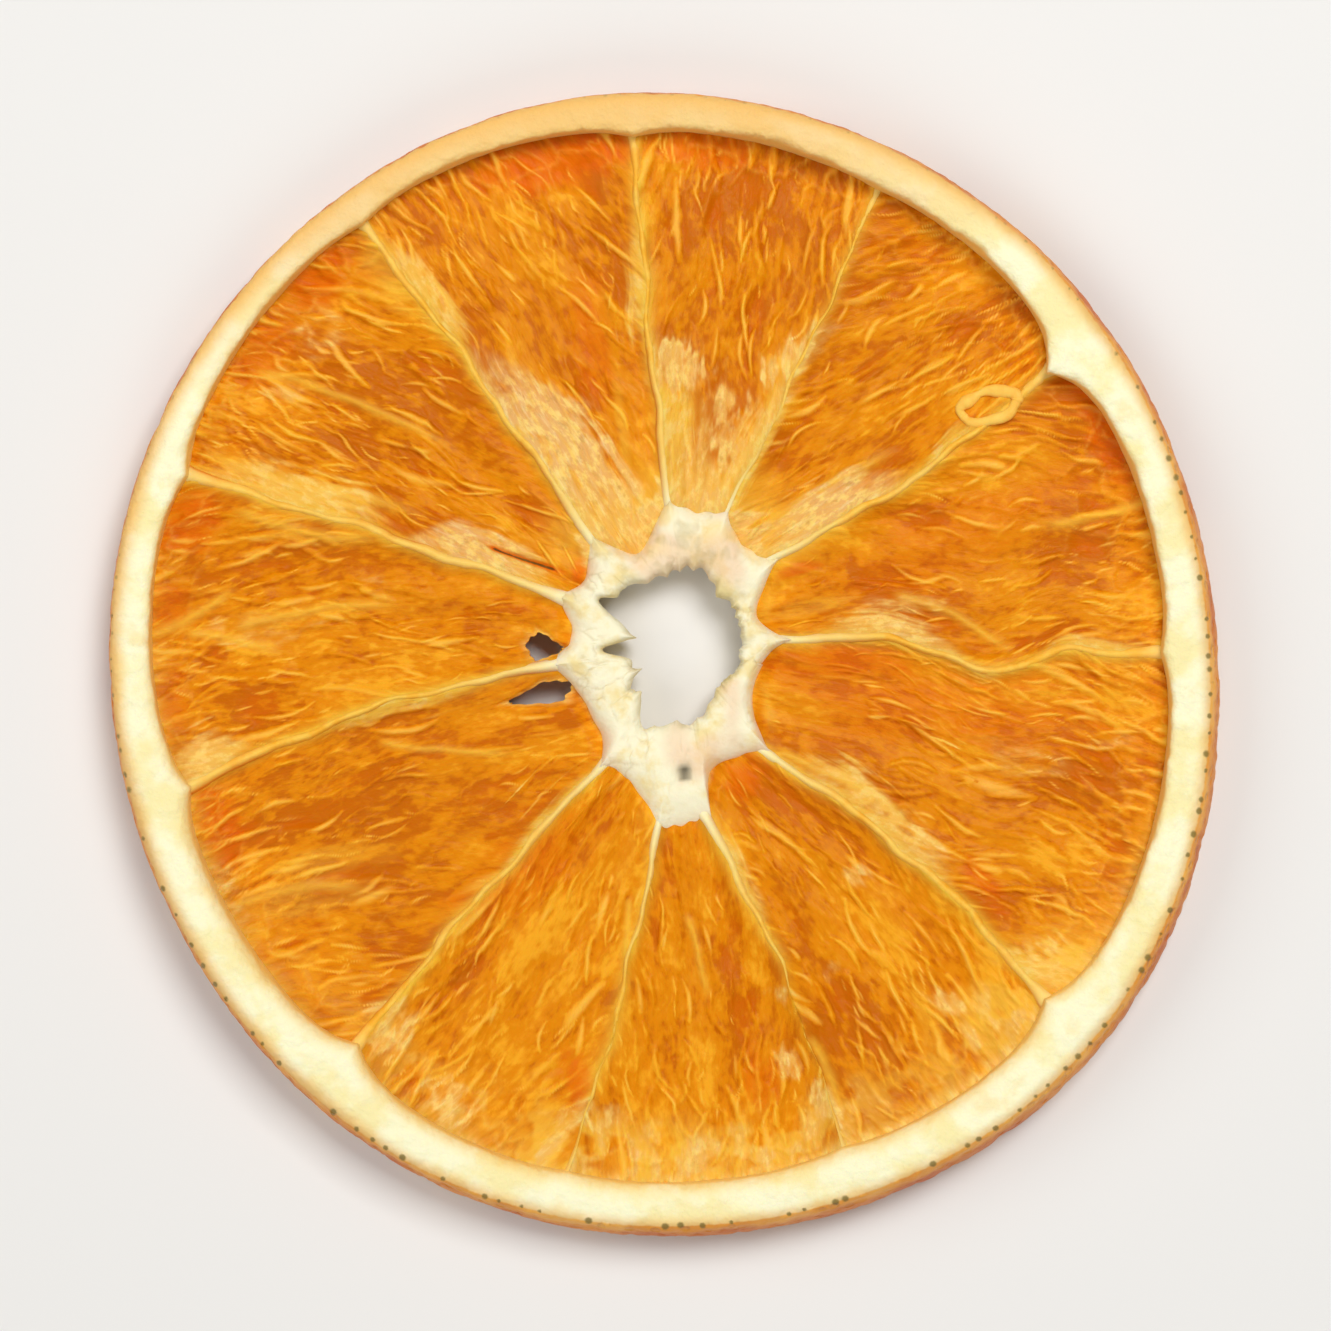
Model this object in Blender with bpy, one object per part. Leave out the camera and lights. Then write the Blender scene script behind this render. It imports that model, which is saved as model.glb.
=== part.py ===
"""A dried slice cut across a large orange, lying flat, seen from above along -Z.

The slice is one closed body. Its rind is a raised ring, its pulp has shrunk into eleven sunken
fields between thin walls, and its core of pith is open in the middle. Two small tears go through
the pulp beside the core, and a small pit is in the pith. The body starts as a torus whose
sections are drawn out to the slice's own section.

+Z is up, +Y is the top of the slice as seen from above, and the origin is on the floor under
the middle of its outline. Lengths are in millimetres until the mesh is written in metres.
"""

from dataclasses import dataclass

import bmesh
import bpy
import numpy as np

METRES = 0.001
NAME = "dried_slice"


@dataclass(frozen=True)
class Wall:
    """A wall between two fields of pulp: its two ends in degrees from +X, and its sizes."""

    at_core: float
    at_rind: float
    bow: float  # sideways bend at half its length, + is anticlockwise
    reach: float  # how far the core's pith runs out along it
    cusp: float  # how far the rind's pith runs in along it
    ridge: float  # how far it stands out of the pulp


WALLS = (
    Wall(at_core=14, at_rind=1.5, bow=-0.8, reach=0.7, cusp=0.6, ridge=0.50),
    Wall(at_core=47, at_rind=37.5, bow=-0.8, reach=2.4, cusp=1.9, ridge=0.55),
    Wall(at_core=69, at_rind=66.0, bow=-0.3, reach=2.8, cusp=0.2, ridge=0.25),
    Wall(at_core=88, at_rind=93.5, bow=0.2, reach=2.9, cusp=0.6, ridge=0.40),
    Wall(at_core=120, at_rind=124.6, bow=-0.2, reach=2.2, cusp=0.4, ridge=0.50),
    Wall(at_core=146, at_rind=158.5, bow=-0.25, reach=1.2, cusp=0.8, ridge=0.45),
    Wall(at_core=179, at_rind=194.5, bow=-1.0, reach=0.6, cusp=1.0, ridge=0.50),
    Wall(at_core=240, at_rind=231.0, bow=-0.35, reach=0.6, cusp=1.3, ridge=0.45),
    Wall(at_core=268, at_rind=259.0, bow=0.45, reach=2.6, cusp=0.2, ridge=0.30),
    Wall(at_core=283, at_rind=290.0, bow=0.8, reach=2.4, cusp=0.4, ridge=0.35),
    Wall(at_core=317, at_rind=318.5, bow=1.1, reach=1.4, cusp=1.1, ridge=0.50),
)

# A wave is its turns in one round, its size and the direction of its first crest times the turns
OUTLINE_RADIUS = 33.3
OUTLINE_WAVES = ((1, 0.25, 296), (2, 0.67, 221), (3, 0.13, 246), (4, 0.10, 220), (5, 0.11, 167))
RIND_WIDTH = 2.45
RIND_WAVES = ((1, 0.86, 306), (2, 0.14, 352), (3, 0.11, 201))
RIM_HEIGHT = 4.4
RIM_WAVES = ((2, 0.16, 70), (3, 0.10, 200), (5, 0.05, 20))
CUSP_SPREAD = 3.5
OUTER_LEAN = 0.55
OUTER_WIDEST = 1.3
FOOT_RISE = 0.35
RIM_SQUARENESS = 3.2
UNDER_PRESS = 1.25
# Two opposite sides of the rind have curled up off the floor in drying
CURL = 0.5
CURL_DIRECTION = 40

CORE_RADIUS = 5.3
CORE_TOP = 3.55
CORE_UNDER = 0.75
CORE_STEP = 0.4
CORE_BUMPS = 0.12
REACH_SPREAD = 14.0

HOLE_CENTRE = (1.2, 1.0)
HOLE_HALF_SIZE = (3.3, 4.75)
# A notch in the hole's torn edge is its direction from the hole's centre, its depth and its spread,
# and a tongue of pith that hangs into the hole is one whose depth is negative
NOTCHES = ((152, 1.5, 6), (137, 1.2, 13), (182, 1.1, 5), (244, 1.0, 9), (305, -1.0, 26), (58, -0.6, 10))

PULP_TOP = 2.9
PULP_UNDER = 1.0
FIELD_VARIES = 0.12
SAG = 0.3
SAG_AT_CORE = 0.3  # the share of the sag that is left beside the core
RIDGE_SPREAD = 0.55
UNDER_RELIEF_SHARE = 0.55
MOAT_DEPTH = 0.3
MOAT_PLACE = 0.9
MOAT_SPREAD = 0.08
LUMPS_IN_FIELD = 3
LUMP_SIZE = 0.11
LUMP_SWAY = 1.5

# A tear is the place of its middle, its length, its width, the direction it runs in, and its sides
TEARS = (
    {"middle": (-7.15, 0.95), "length": 1.7, "width": 2.7, "turn": -95, "sides": 3},
    {"middle": (-7.4, -1.75), "length": 3.9, "width": 1.3, "turn": 13, "sides": 8},
)
PIT_PLACE = (1.1, -6.4)
PIT_RADIUS = 0.5
PIT_FLOOR = 2.4

# The share of a field's width at which each column of the mesh stands, closest beside the walls
COLUMN_SHARES = (0.0, 0.03, 0.08, 0.17, 0.28, 0.39, 0.5, 0.61, 0.72, 0.83, 0.92, 0.97)
RIM_STATIONS = 9
UNDER_STATIONS = 6
PULP_STATIONS = 12
UNDER_PULP_STATIONS = 8
STATION_REACH = 0.96  # the share of the pulp's length that its loops span
SEED = 7

PULP_COLOUR = (0.78, 0.27, 0.02, 1.0)
PULP_ROUGHNESS = 0.45


def round_gap(angle, direction):
    """Signed turn in degrees from a direction to an angle, between -180 and 180."""
    return (angle - direction + 180.0) % 360.0 - 180.0


def waves(angle, mean, parts):
    """Mean value plus cosine waves round the slice."""
    total = np.full_like(angle, mean)
    for turns, size, crest in parts:
        total += size * np.cos(np.radians(turns * angle - crest))
    return total


def polar(radius, angle):
    """Points at a radius and an angle in degrees from the slice's middle."""
    turn = np.radians(angle)
    return np.stack([radius * np.cos(turn), radius * np.sin(turn)], axis=-1)


def outer_radius(angle):
    """Radius of the rind's outside."""
    return waves(angle, OUTLINE_RADIUS, OUTLINE_WAVES)


def foot_radius(angle):
    """Radius of the rind's inside, which runs in to a cusp at each wall."""
    radius = outer_radius(angle) - waves(angle, RIND_WIDTH, RIND_WAVES)
    for wall in WALLS:
        radius -= wall.cusp * np.exp(-np.abs(round_gap(angle, wall.at_rind)) / CUSP_SPREAD)
    return radius


def core_radius(angle):
    """Radius of the core, which runs out along each wall."""
    radius = np.full_like(angle, CORE_RADIUS)
    for wall in WALLS:
        radius += wall.reach * np.exp(-(round_gap(angle, wall.at_core) / REACH_SPREAD) ** 2)
    return radius


def hole_edge(core_points):
    """Points of the hole's torn edge, each on the line from a core point to the hole's centre."""
    centre = np.array(HOLE_CENTRE)
    away = core_points - centre
    angle = np.degrees(np.arctan2(away[:, 1], away[:, 0]))
    turn = np.radians(angle)
    half_x, half_y = HOLE_HALF_SIZE
    radius = 1.0 / np.hypot(np.cos(turn) / half_x, np.sin(turn) / half_y)
    for direction, depth, spread in NOTCHES:
        radius += depth * np.exp(-(round_gap(angle, direction) / spread) ** 2)
    return centre + polar(radius, angle)


def curl(places):
    """How far the dried slice has curled up at each place: nothing at the core, most at the rind."""
    angle = np.degrees(np.arctan2(places[:, 1], places[:, 0]))
    radius = np.linalg.norm(places, axis=1)
    across = np.maximum(0.0, np.cos(np.radians(2.0 * (angle - CURL_DIRECTION))))
    return CURL * across**2 * (radius / OUTLINE_RADIUS) ** 3


class Columns:
    """The mesh's columns: each is a line from the hole over core, pulp and rind to the outside."""

    def __init__(self):
        """Place each column between its two walls."""
        count = len(WALLS)
        self.field = np.repeat(np.arange(count), len(COLUMN_SHARES))
        self.share = np.tile(np.array(COLUMN_SHARES), count)
        self.angle_at_core = self.between([wall.at_core for wall in WALLS], whole_turn=360.0)
        self.angle_at_rind = self.between([wall.at_rind for wall in WALLS], whole_turn=360.0)
        self.bow = self.between([wall.bow for wall in WALLS])
        self.core = polar(core_radius(self.angle_at_core), self.angle_at_core)
        self.foot = polar(foot_radius(self.angle_at_rind), self.angle_at_rind)
        self.outside = polar(outer_radius(self.angle_at_rind), self.angle_at_rind)
        self.hole = hole_edge(self.core)
        self.rim = waves(self.angle_at_rind, RIM_HEIGHT, RIM_WAVES)
        draw = np.random.default_rng(SEED)
        self.level = FIELD_VARIES * draw.uniform(-1, 1, count)[self.field]
        self.phase = draw.uniform(0, 2 * np.pi, count)[self.field]

    def between(self, values, whole_turn=0.0):
        """Value of each column, from the values of the walls before and after it."""
        after = np.append(values[1:], values[0] + whole_turn)
        before = np.array(values, dtype=float)
        return before[self.field] + (after - before)[self.field] * self.share

    def pulp_place(self, along):
        """Points at a share of the way from the core to the rind, bent with the walls."""
        run = self.foot - self.core
        side = np.stack([-run[:, 1], run[:, 0]], axis=-1) / np.linalg.norm(run, axis=1)[:, None]
        return self.core + run * along + side * (self.bow * np.sin(np.pi * along))[:, None]

    def wall_rise(self, along):
        """Height of the nearest wall's ridge over the pulp, falling off sideways like a bell."""
        ends = [wall.at_core for wall in WALLS], [wall.at_rind for wall in WALLS]
        widths = [np.diff(np.append(end, end[0] + 360.0))[self.field] for end in ends]
        turn = np.radians(widths[0] + (widths[1] - widths[0]) * along)
        radius = np.linalg.norm(self.pulp_place(along), axis=1)
        to_wall = np.minimum(self.share, 1.0 - self.share) * turn * radius
        nearest = (self.field + (self.share > 0.5)) % len(WALLS)
        ridge = np.array([wall.ridge for wall in WALLS])[nearest]
        return ridge * np.exp(-((to_wall / RIDGE_SPREAD) ** 2))

    def pulp_relief(self, along):
        """Sag between the walls, lumps of juice sacs and the moat beside the rind."""
        between_walls = np.sin(np.pi * self.share)
        sag = -SAG * (SAG_AT_CORE + (1.0 - SAG_AT_CORE) * along)
        moat = -MOAT_DEPTH * np.exp(-(((along - MOAT_PLACE) / MOAT_SPREAD) ** 2))
        sway = self.phase + LUMP_SWAY * np.sin(2 * np.pi * along + self.phase)
        lumps = LUMP_SIZE * np.cos(2 * np.pi * LUMPS_IN_FIELD * self.share + sway)
        return (sag + moat) * between_walls + lumps


def ring(places, height):
    """One closed loop of the mesh: places seen from above, at a height over the flat slice."""
    return np.column_stack([places, height + curl(places)])


def rind_rings(columns):
    """Loops of the rind over the top, from the outside's widest line in to the pulp.

    The section is half a superellipse, so its top is flat with round shoulders.
    """
    rings = []
    for turn in np.linspace(0.0, np.pi, RIM_STATIONS):
        across = np.abs(np.cos(turn)) ** (2 / RIM_SQUARENESS) * np.sign(np.cos(turn))
        share = 0.5 - 0.5 * across
        rise = np.sin(turn) ** (2 / RIM_SQUARENESS)
        start = OUTER_WIDEST + (PULP_TOP + FOOT_RISE - OUTER_WIDEST) * share
        height = start + (columns.rim - start) * rise
        lean = OUTER_LEAN * (1.0 - share) * (height - OUTER_WIDEST) / RIM_HEIGHT
        inward = columns.foot - columns.outside
        inward_unit = inward / np.linalg.norm(inward, axis=1)[:, None]
        places = columns.outside + inward * share + inward_unit * lean[:, None]
        rings.append(ring(places, height))
    return rings


def under_rind_rings(columns):
    """Loops of the rind's underside, from the pulp out to the outside: pressed flat on the floor."""
    rings = []
    for turn in np.linspace(np.pi, 0.0, UNDER_STATIONS + 2)[1:-1]:
        across = np.abs(np.cos(turn)) ** (2 / RIM_SQUARENESS) * np.sign(np.cos(turn))
        share = 0.5 - 0.5 * across
        start = OUTER_WIDEST + (PULP_UNDER - OUTER_WIDEST) * share
        height = max(0.0, start * (1.0 - UNDER_PRESS * np.sin(turn) ** (2 / RIM_SQUARENESS)))
        places = columns.outside + (columns.foot - columns.outside) * share
        rings.append(ring(places, height))
    return rings


def pulp_rings(columns):
    """Loops of the pulp's upper face, from the rind in to the core."""
    rings = []
    for step in range(PULP_STATIONS):
        along = 0.5 + 0.5 * STATION_REACH * np.cos(np.pi * step / (PULP_STATIONS - 1))
        height = PULP_TOP + columns.level + columns.pulp_relief(along) + columns.wall_rise(along)
        rings.append(ring(columns.pulp_place(along), height))
    return rings


def under_pulp_rings(columns):
    """Loops of the pulp's lower face, from the core out to the rind."""
    rings = []
    for step in range(UNDER_PULP_STATIONS):
        along = 0.5 - 0.5 * STATION_REACH * np.cos(np.pi * step / (UNDER_PULP_STATIONS - 1))
        relief = columns.wall_rise(along) + columns.pulp_relief(along)
        height = PULP_UNDER - UNDER_RELIEF_SHARE * relief
        rings.append(ring(columns.pulp_place(along), height))
    return rings


def core_rings(columns):
    """Loops of the core: its top, the wall of its hole, and its underside."""

    def pith(share, height):
        """Loop at a share of the way from the hole to the core's edge, bumpy like a sponge."""
        places = columns.hole + (columns.core - columns.hole) * share
        bumps = np.sin(1.9 * places[:, 0] + 1.0) * np.sin(2.3 * places[:, 1] + 2.0)
        return ring(places, height + CORE_BUMPS * bumps)

    middle = 0.5 * (CORE_TOP + CORE_UNDER)
    return [
        pith(1.0, PULP_TOP + CORE_STEP),
        pith(0.8, CORE_TOP),
        pith(0.45, CORE_TOP),
        pith(0.1, CORE_TOP - 0.1),
        pith(0.0, CORE_TOP - 0.4),
        pith(-0.04, middle),
        pith(0.0, CORE_UNDER + 0.4),
        pith(0.3, CORE_UNDER),
        pith(0.85, CORE_UNDER),
    ]


def slice_mesh():
    """The slice's mesh: a torus whose points are moved to the slice's own loops."""
    columns = Columns()
    rings = rind_rings(columns) + pulp_rings(columns) + core_rings(columns)
    rings += under_pulp_rings(columns) + under_rind_rings(columns)
    points = np.stack(rings, axis=1).reshape(-1, 3)
    low, high = points.min(axis=0), points.max(axis=0)
    shift = np.array([(low[0] + high[0]) / 2, (low[1] + high[1]) / 2, low[2]])
    bpy.ops.mesh.primitive_torus_add(major_segments=len(columns.share), minor_segments=len(rings))
    body = bpy.context.object
    body.data.vertices.foreach_set("co", ((points - shift) * METRES).astype(np.float32).ravel())
    body.data.update()
    return body, shift


def tear_cutter(name, middle, length, width, turn, sides, shift):
    """A prism that cuts a tear right through the pulp."""
    cutter = bmesh.new()
    bmesh.ops.create_cone(
        cutter,
        cap_ends=True,
        segments=sides,
        radius1=0.5 * METRES,
        radius2=0.5 * METRES,
        depth=2 * RIM_HEIGHT * METRES,
    )
    bmesh.ops.scale(cutter, vec=(length, width, 1.0), verts=cutter.verts)
    return cutter_object(name, cutter, middle, PULP_TOP / 2, turn, shift)


def pit_cutter(shift):
    """A blunt cone that sinks the small pit into the core's pith."""
    cutter = bmesh.new()
    depth = RIM_HEIGHT - PIT_FLOOR
    bmesh.ops.create_cone(
        cutter,
        cap_ends=True,
        segments=8,
        radius1=0.5 * PIT_RADIUS * METRES,
        radius2=1.3 * PIT_RADIUS * METRES,
        depth=depth * METRES,
    )
    return cutter_object("pit_cutter", cutter, PIT_PLACE, PIT_FLOOR + depth / 2, 0.0, shift)


def cutter_object(name, mesh_in_work, middle, height, turn, shift):
    """Put a cutter's mesh in the scene at its place, shown as wire."""
    mesh = bpy.data.meshes.new(name)
    mesh_in_work.to_mesh(mesh)
    mesh_in_work.free()
    cutter = bpy.data.objects.new(name, mesh)
    cutter.location = ((np.array([*middle, height]) - shift) * METRES).tolist()
    cutter.rotation_euler.z = np.radians(turn)
    cutter.hide_render = True
    cutter.display_type = "WIRE"
    bpy.context.collection.objects.link(cutter)
    return cutter


def cut(body, cutter):
    """Take a cutter out of the slice."""
    modifier = body.modifiers.new(cutter.name, "BOOLEAN")
    modifier.operation = "DIFFERENCE"
    modifier.object = cutter


def pulp_material():
    """Dry, slightly waxy orange pulp."""
    material = bpy.data.materials.new(NAME)
    material.use_nodes = True
    shader = material.node_tree.nodes["Principled BSDF"]
    shader.inputs["Base Color"].default_value = PULP_COLOUR
    shader.inputs["Roughness"].default_value = PULP_ROUGHNESS
    shader.inputs["Metallic"].default_value = 0.0
    material.diffuse_color = PULP_COLOUR
    return material


def build():
    """Clear the scene and make the slice."""
    for old in list(bpy.data.objects):
        bpy.data.objects.remove(old)
    body, shift = slice_mesh()
    body.name = body.data.name = NAME
    body.data.materials.append(pulp_material())
    body.data.shade_smooth()
    for number, tear in enumerate(TEARS):
        cut(body, tear_cutter(f"tear_cutter_{number}", shift=shift, **tear))
    cut(body, pit_cutter(shift))


build()
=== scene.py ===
"""The looks of a dried citrus slice, lying flat: rind, pulp with dried strands, walls, pith and a sac loop.

Every piece repeats the named sizes of the solid that it stands for and adds what is too fine for
that solid: juice sacs, thin skins, fibres, pores and colours. Sizes are in millimetres until a
mesh is written in metres. Angles are in degrees, anticlockwise from +X, seen from above.
"""

from __future__ import annotations

import logging
from collections.abc import Iterator
from dataclasses import dataclass, field
from enum import Enum

import bpy
import numpy as np
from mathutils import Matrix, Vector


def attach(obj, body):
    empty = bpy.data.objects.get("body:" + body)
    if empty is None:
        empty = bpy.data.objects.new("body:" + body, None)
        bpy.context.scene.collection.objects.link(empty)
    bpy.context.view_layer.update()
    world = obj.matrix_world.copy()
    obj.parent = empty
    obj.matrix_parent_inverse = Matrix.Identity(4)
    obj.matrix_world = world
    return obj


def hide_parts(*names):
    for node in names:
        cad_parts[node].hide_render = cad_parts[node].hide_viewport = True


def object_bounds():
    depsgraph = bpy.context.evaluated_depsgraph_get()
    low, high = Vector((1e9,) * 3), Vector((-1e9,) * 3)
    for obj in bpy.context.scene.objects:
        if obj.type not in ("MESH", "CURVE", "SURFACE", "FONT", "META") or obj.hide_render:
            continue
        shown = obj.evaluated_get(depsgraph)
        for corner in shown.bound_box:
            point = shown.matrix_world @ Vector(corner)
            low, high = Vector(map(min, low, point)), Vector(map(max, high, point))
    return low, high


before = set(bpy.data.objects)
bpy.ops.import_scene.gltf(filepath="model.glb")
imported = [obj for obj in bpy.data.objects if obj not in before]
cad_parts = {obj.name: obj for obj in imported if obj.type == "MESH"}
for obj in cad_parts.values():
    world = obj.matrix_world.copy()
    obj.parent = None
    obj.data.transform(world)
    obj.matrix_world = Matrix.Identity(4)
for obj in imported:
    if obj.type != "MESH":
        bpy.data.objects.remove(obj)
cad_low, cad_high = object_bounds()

LOG = logging.getLogger("dried_slice")
METRES = 0.001
NODE = "dried_slice"
BODY = "root"

Array = np.ndarray
Colour = tuple[float, float, float, float]
Waves = tuple[tuple[int, float, float], ...]  # turns, size and crest of each
Bells = tuple[tuple[float, float, float], ...]  # direction, size and spread of each
Bumps = tuple[tuple[float, float], ...]  # height and width of each


class Slot(Enum):
    """The record's material slots."""

    PULP = "dried_pulp"
    RIND = "dried_rind"
    PITH = "dried_pith"


def colour(red: int, green: int, blue: int) -> Colour:
    """Linear colour of an 8-bit display colour.

    Args:
        red: Display value from 0 to 255, as are green and blue.
        green: Display value.
        blue: Display value.

    Returns:
        Linear red, green and blue, and an alpha of 1.
    """
    shares = [value / 255.0 for value in (red, green, blue)]
    low = [share / 12.92 for share in shares]
    high = [((share + 0.055) / 1.055) ** 2.4 for share in shares]
    linear = [a if share <= 0.04045 else b for share, a, b in zip(shares, low, high)]
    return linear[0], linear[1], linear[2], 1.0


def ease(value: Array, low: float, high: float) -> Array:
    """Smooth step from 0 at low to 1 at high."""
    share = np.clip((value - low) / (high - low), 0.0, 1.0)
    return share * share * (3.0 - 2.0 * share)


def bell(value: Array, spread: float | Array) -> Array:
    """Bell curve, 1 at nought and falling to 0.37 at the spread."""
    return np.exp(-((value / spread) ** 2))


def fading(way: Array, spread: float) -> Array:
    """Share that falls from 1 by the same part for each step away from nought."""
    return np.exp(-np.maximum(way, 0) / spread)


def round_gap(angle: Array, direction: float) -> Array:
    """Signed turn from a direction to an angle, between -180 and 180."""
    return (angle - direction + 180.0) % 360.0 - 180.0


def facing(angle: Array, direction: float) -> Array:
    """Cosine of the turn to a direction: 1 along it and -1 away from it."""
    return np.cos(np.radians(angle - direction))


def bearing(places: Array) -> Array:
    """Direction of each place, seen from the slice's middle."""
    return np.degrees(np.arctan2(places[..., 1], places[..., 0]))


def polar(radius: Array, angle: Array) -> Array:
    """Points at a radius and an angle from the slice's middle."""
    turn = np.radians(angle)
    return np.stack([radius * np.cos(turn), radius * np.sin(turn)], axis=-1)


def unit(ways: Array) -> Array:
    """The same ways with a length of one."""
    return ways / np.linalg.norm(ways, axis=-1)[..., None]


def leftward(ways: Array) -> Array:
    """The same ways, turned a quarter to their left."""
    return np.stack([-ways[..., 1], ways[..., 0]], axis=-1)


def turned(places: Array, turn: float, middle: tuple[float, float] = (0.0, 0.0)) -> tuple[Array, Array]:
    """Distances of places from a middle, along a direction and to its left.

    Args:
        places: Points seen from above.
        turn: The direction.
        middle: Where both distances are nought.

    Returns:
        The two distances.
    """
    x, y = places[..., 0] - middle[0], places[..., 1] - middle[1]
    cosine, sine = np.cos(np.radians(turn)), np.sin(np.radians(turn))
    return x * cosine + y * sine, y * cosine - x * sine


def waves(angle: Array, mean: float, parts: Waves) -> Array:
    """Mean value plus cosine waves round the slice."""
    return mean + sum(size * facing(turns * angle, crest) for turns, size, crest in parts)


def bells(angle: Array, parts: Bells) -> Array:
    """Sum of bell curves round the slice."""
    return sum(size * bell(round_gap(angle, direction), spread) for direction, size, spread in parts)


class Chance:
    """Repeatable smooth noise in the plane, from a hash of lattice points and a seed."""

    def __init__(self, seed: int) -> None:
        """Keep the seed that tells this noise from the others."""
        self.seed = seed

    def lattice(self, x: Array, y: Array, draw: int = 0) -> Array:
        """Random number from 0 to 1 at each whole-numbered point.

        Args:
            x: Whole numbers.
            y: Whole numbers.
            draw: Which of the point's random numbers.

        Returns:
            One number for each point, always the same for that point.
        """
        mix = x.astype(np.int64) * 374761393 + y.astype(np.int64) * 668265263
        mix = (mix + (self.seed * 97 + draw) * 1442695041) & 0xFFFFFFFF
        mix = ((mix ^ (mix >> 13)) * 1274126177) & 0xFFFFFFFF
        return ((mix ^ (mix >> 16)) & 0xFFFFFF) / float(0x1000000)

    def around(self, x: Array, y: Array) -> Iterator[tuple[Array, Array]]:
        """The lattice points below each place and those of the eight squares round it."""
        for square in range(9):
            yield np.floor(x) + square // 3 - 1, np.floor(y) + square % 3 - 1

    def smooth(self, x: Array, y: Array) -> Array:
        """Value noise: lattice numbers joined by cubic steps.

        Args:
            x: Place across, in lattice steps.
            y: Place along.

        Returns:
            Numbers from -1 to 1.
        """
        left, low = np.floor(x), np.floor(y)
        step_x, step_y = ease(x - left, 0.0, 1.0), ease(y - low, 0.0, 1.0)
        near = self.lattice(left, low) * (1 - step_x) + self.lattice(left + 1, low) * step_x
        far = self.lattice(left, low + 1) * (1 - step_x) + self.lattice(left + 1, low + 1) * step_x
        return 2.0 * (near * (1 - step_y) + far * step_y) - 1.0

    def rough(self, x: Array, y: Array | float, octaves: int = 3) -> Array:
        """Sum of value noises, each twice as fine and half as strong as the one before.

        Args:
            x: Place across, in lattice steps of the coarsest noise.
            y: Place along.
            octaves: How many noises.

        Returns:
            Numbers from about -1 to 1.
        """
        x, y = np.broadcast_arrays(x, y)
        total = np.zeros(x.shape)
        for octave in range(octaves):
            scale = 2.0**octave
            total += self.smooth(x * scale + 17.3 * octave, y * scale - 9.1 * octave) / scale
        return total / (2.0 - 2.0 ** (1 - octaves))

    def cells(self, x: Array, y: Array, jitter: float = 0.9) -> tuple[Array, Array, Array]:
        """Cells round one jittered point in each unit square.

        Args:
            x: Place across, in cells.
            y: Place along, in cells.
            jitter: How far a cell's point strays from its square's middle.

        Returns:
            The distance to the nearest point, how much further the second one is, and the
            nearest cell's random number.
        """
        best, second, tone = np.full(x.shape, 9.0), np.full(x.shape, 9.0), np.zeros(x.shape)
        for cell_x, cell_y in self.around(x, y):
            point_x = cell_x + 0.5 + jitter * (self.lattice(cell_x, cell_y, 1) - 0.5)
            point_y = cell_y + 0.5 + jitter * (self.lattice(cell_x, cell_y, 2) - 0.5)
            away = np.hypot(x - point_x, y - point_y)
            nearer = away < best
            second = np.where(nearer, best, np.minimum(second, away))
            tone = np.where(nearer, self.lattice(cell_x, cell_y, 3), tone)
            best = np.minimum(best, away)
        return best, second - best, tone

    def strands(self, x: Array, y: Array, amount: Array) -> tuple[Array, Array, Array]:
        """Bent strands along y, one near each lattice point that has one.

        Across a strand its back is a parabola, which narrows to both ends as another one does.
        Its crest is a narrower bell, a little to one side; the pulp is painted pale there, partly as
        painted highlight.

        Args:
            x: Place across, in cells.
            y: Place along, in cells.
            amount: Share of the lattice points that have a strand.

        Returns:
            The height of the strands' backs, how near each point is to a crest, and the
            topmost strand's random number.
        """
        back, crest, tone = (np.zeros(x.shape) for _ in range(3))
        for cell_x, cell_y in self.around(x, y):
            draws = [self.lattice(cell_x, cell_y, 10 + draw) for draw in range(8)]
            aside = x - cell_x - 0.1 - 0.8 * draws[0]
            along = (y - cell_y - 0.05 - 0.9 * draws[1]) / (0.45 + 0.5 * draws[2])
            aside = aside - 1.1 * (draws[3] - 0.5) * along - 0.7 * (draws[4] - 0.5) * along**2
            ends = np.clip(1.0 - along**2, 0.0, 1.0)
            aside = aside / ((0.14 + 0.26 * draws[5] * draws[2]) * (0.4 + 0.6 * ends))
            here = np.clip(1.0 - aside**2, 0.0, 1.0) * ends**0.5 * (0.6 + 0.4 * draws[6])
            here = here * ease(amount - draws[7], 0.0, 0.12)
            over = here > back
            back = np.where(over, here, back)
            tone = np.where(over, draws[6], tone)
            crest = np.where(over, bell(aside - 0.1, 0.62) * ends * np.sqrt(here), crest)
        return back, crest, tone


def bumps(x: Array, y: Array, parts: Bumps, noises: tuple[Chance, ...]) -> Array:
    """Sum of rough noises, each with its own height and width."""
    return sum(size * noise.rough(x / wide, y / wide) for noise, (size, wide) in zip(noises, parts))


@dataclass(frozen=True)
class Film:
    """A torn piece of a wall's skin that lies draped on the pulp beside the wall."""

    side: int  # +1 is the anticlockwise side of the wall
    start: float  # share of the wall's length
    end: float
    width: float
    pale: float  # 0 is golden, 1 is cream


@dataclass(frozen=True)
class Wall:
    """A wall between two fields of pulp, with its two ends and its sizes."""

    at_core: float
    at_rind: float
    bow: float
    reach: float
    cusp: float
    ridge: float
    clear: float  # how clearly its crest shows, from 0 to 1
    fades: float = 2.0  # share of its length where the crest fades out
    films: tuple[Film, ...] = ()
    kinks: Bells = ()  # share of its length, way aside and spread of each
    lean: tuple[float, float] = (0.0, 0.0)  # of the next field's strands, near core and rind

    def stray(self, along: Array) -> Array:
        """How far the wall strays to its left: two sine waves and a bell for each kink.

        Args:
            along: Share of the way from the core to the rind.

        Returns:
            Distances in millimetres.
        """
        sway = 0.14 * np.sin(17.0 * along + self.at_core) + 0.07 * np.sin(41.0 * along + self.at_rind)
        bends = sum(way * bell(along - share, spread) for share, way, spread in self.kinks)
        return (self.bow + sway) * np.sin(np.pi * np.clip(along, 0, 1)) + bends


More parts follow.
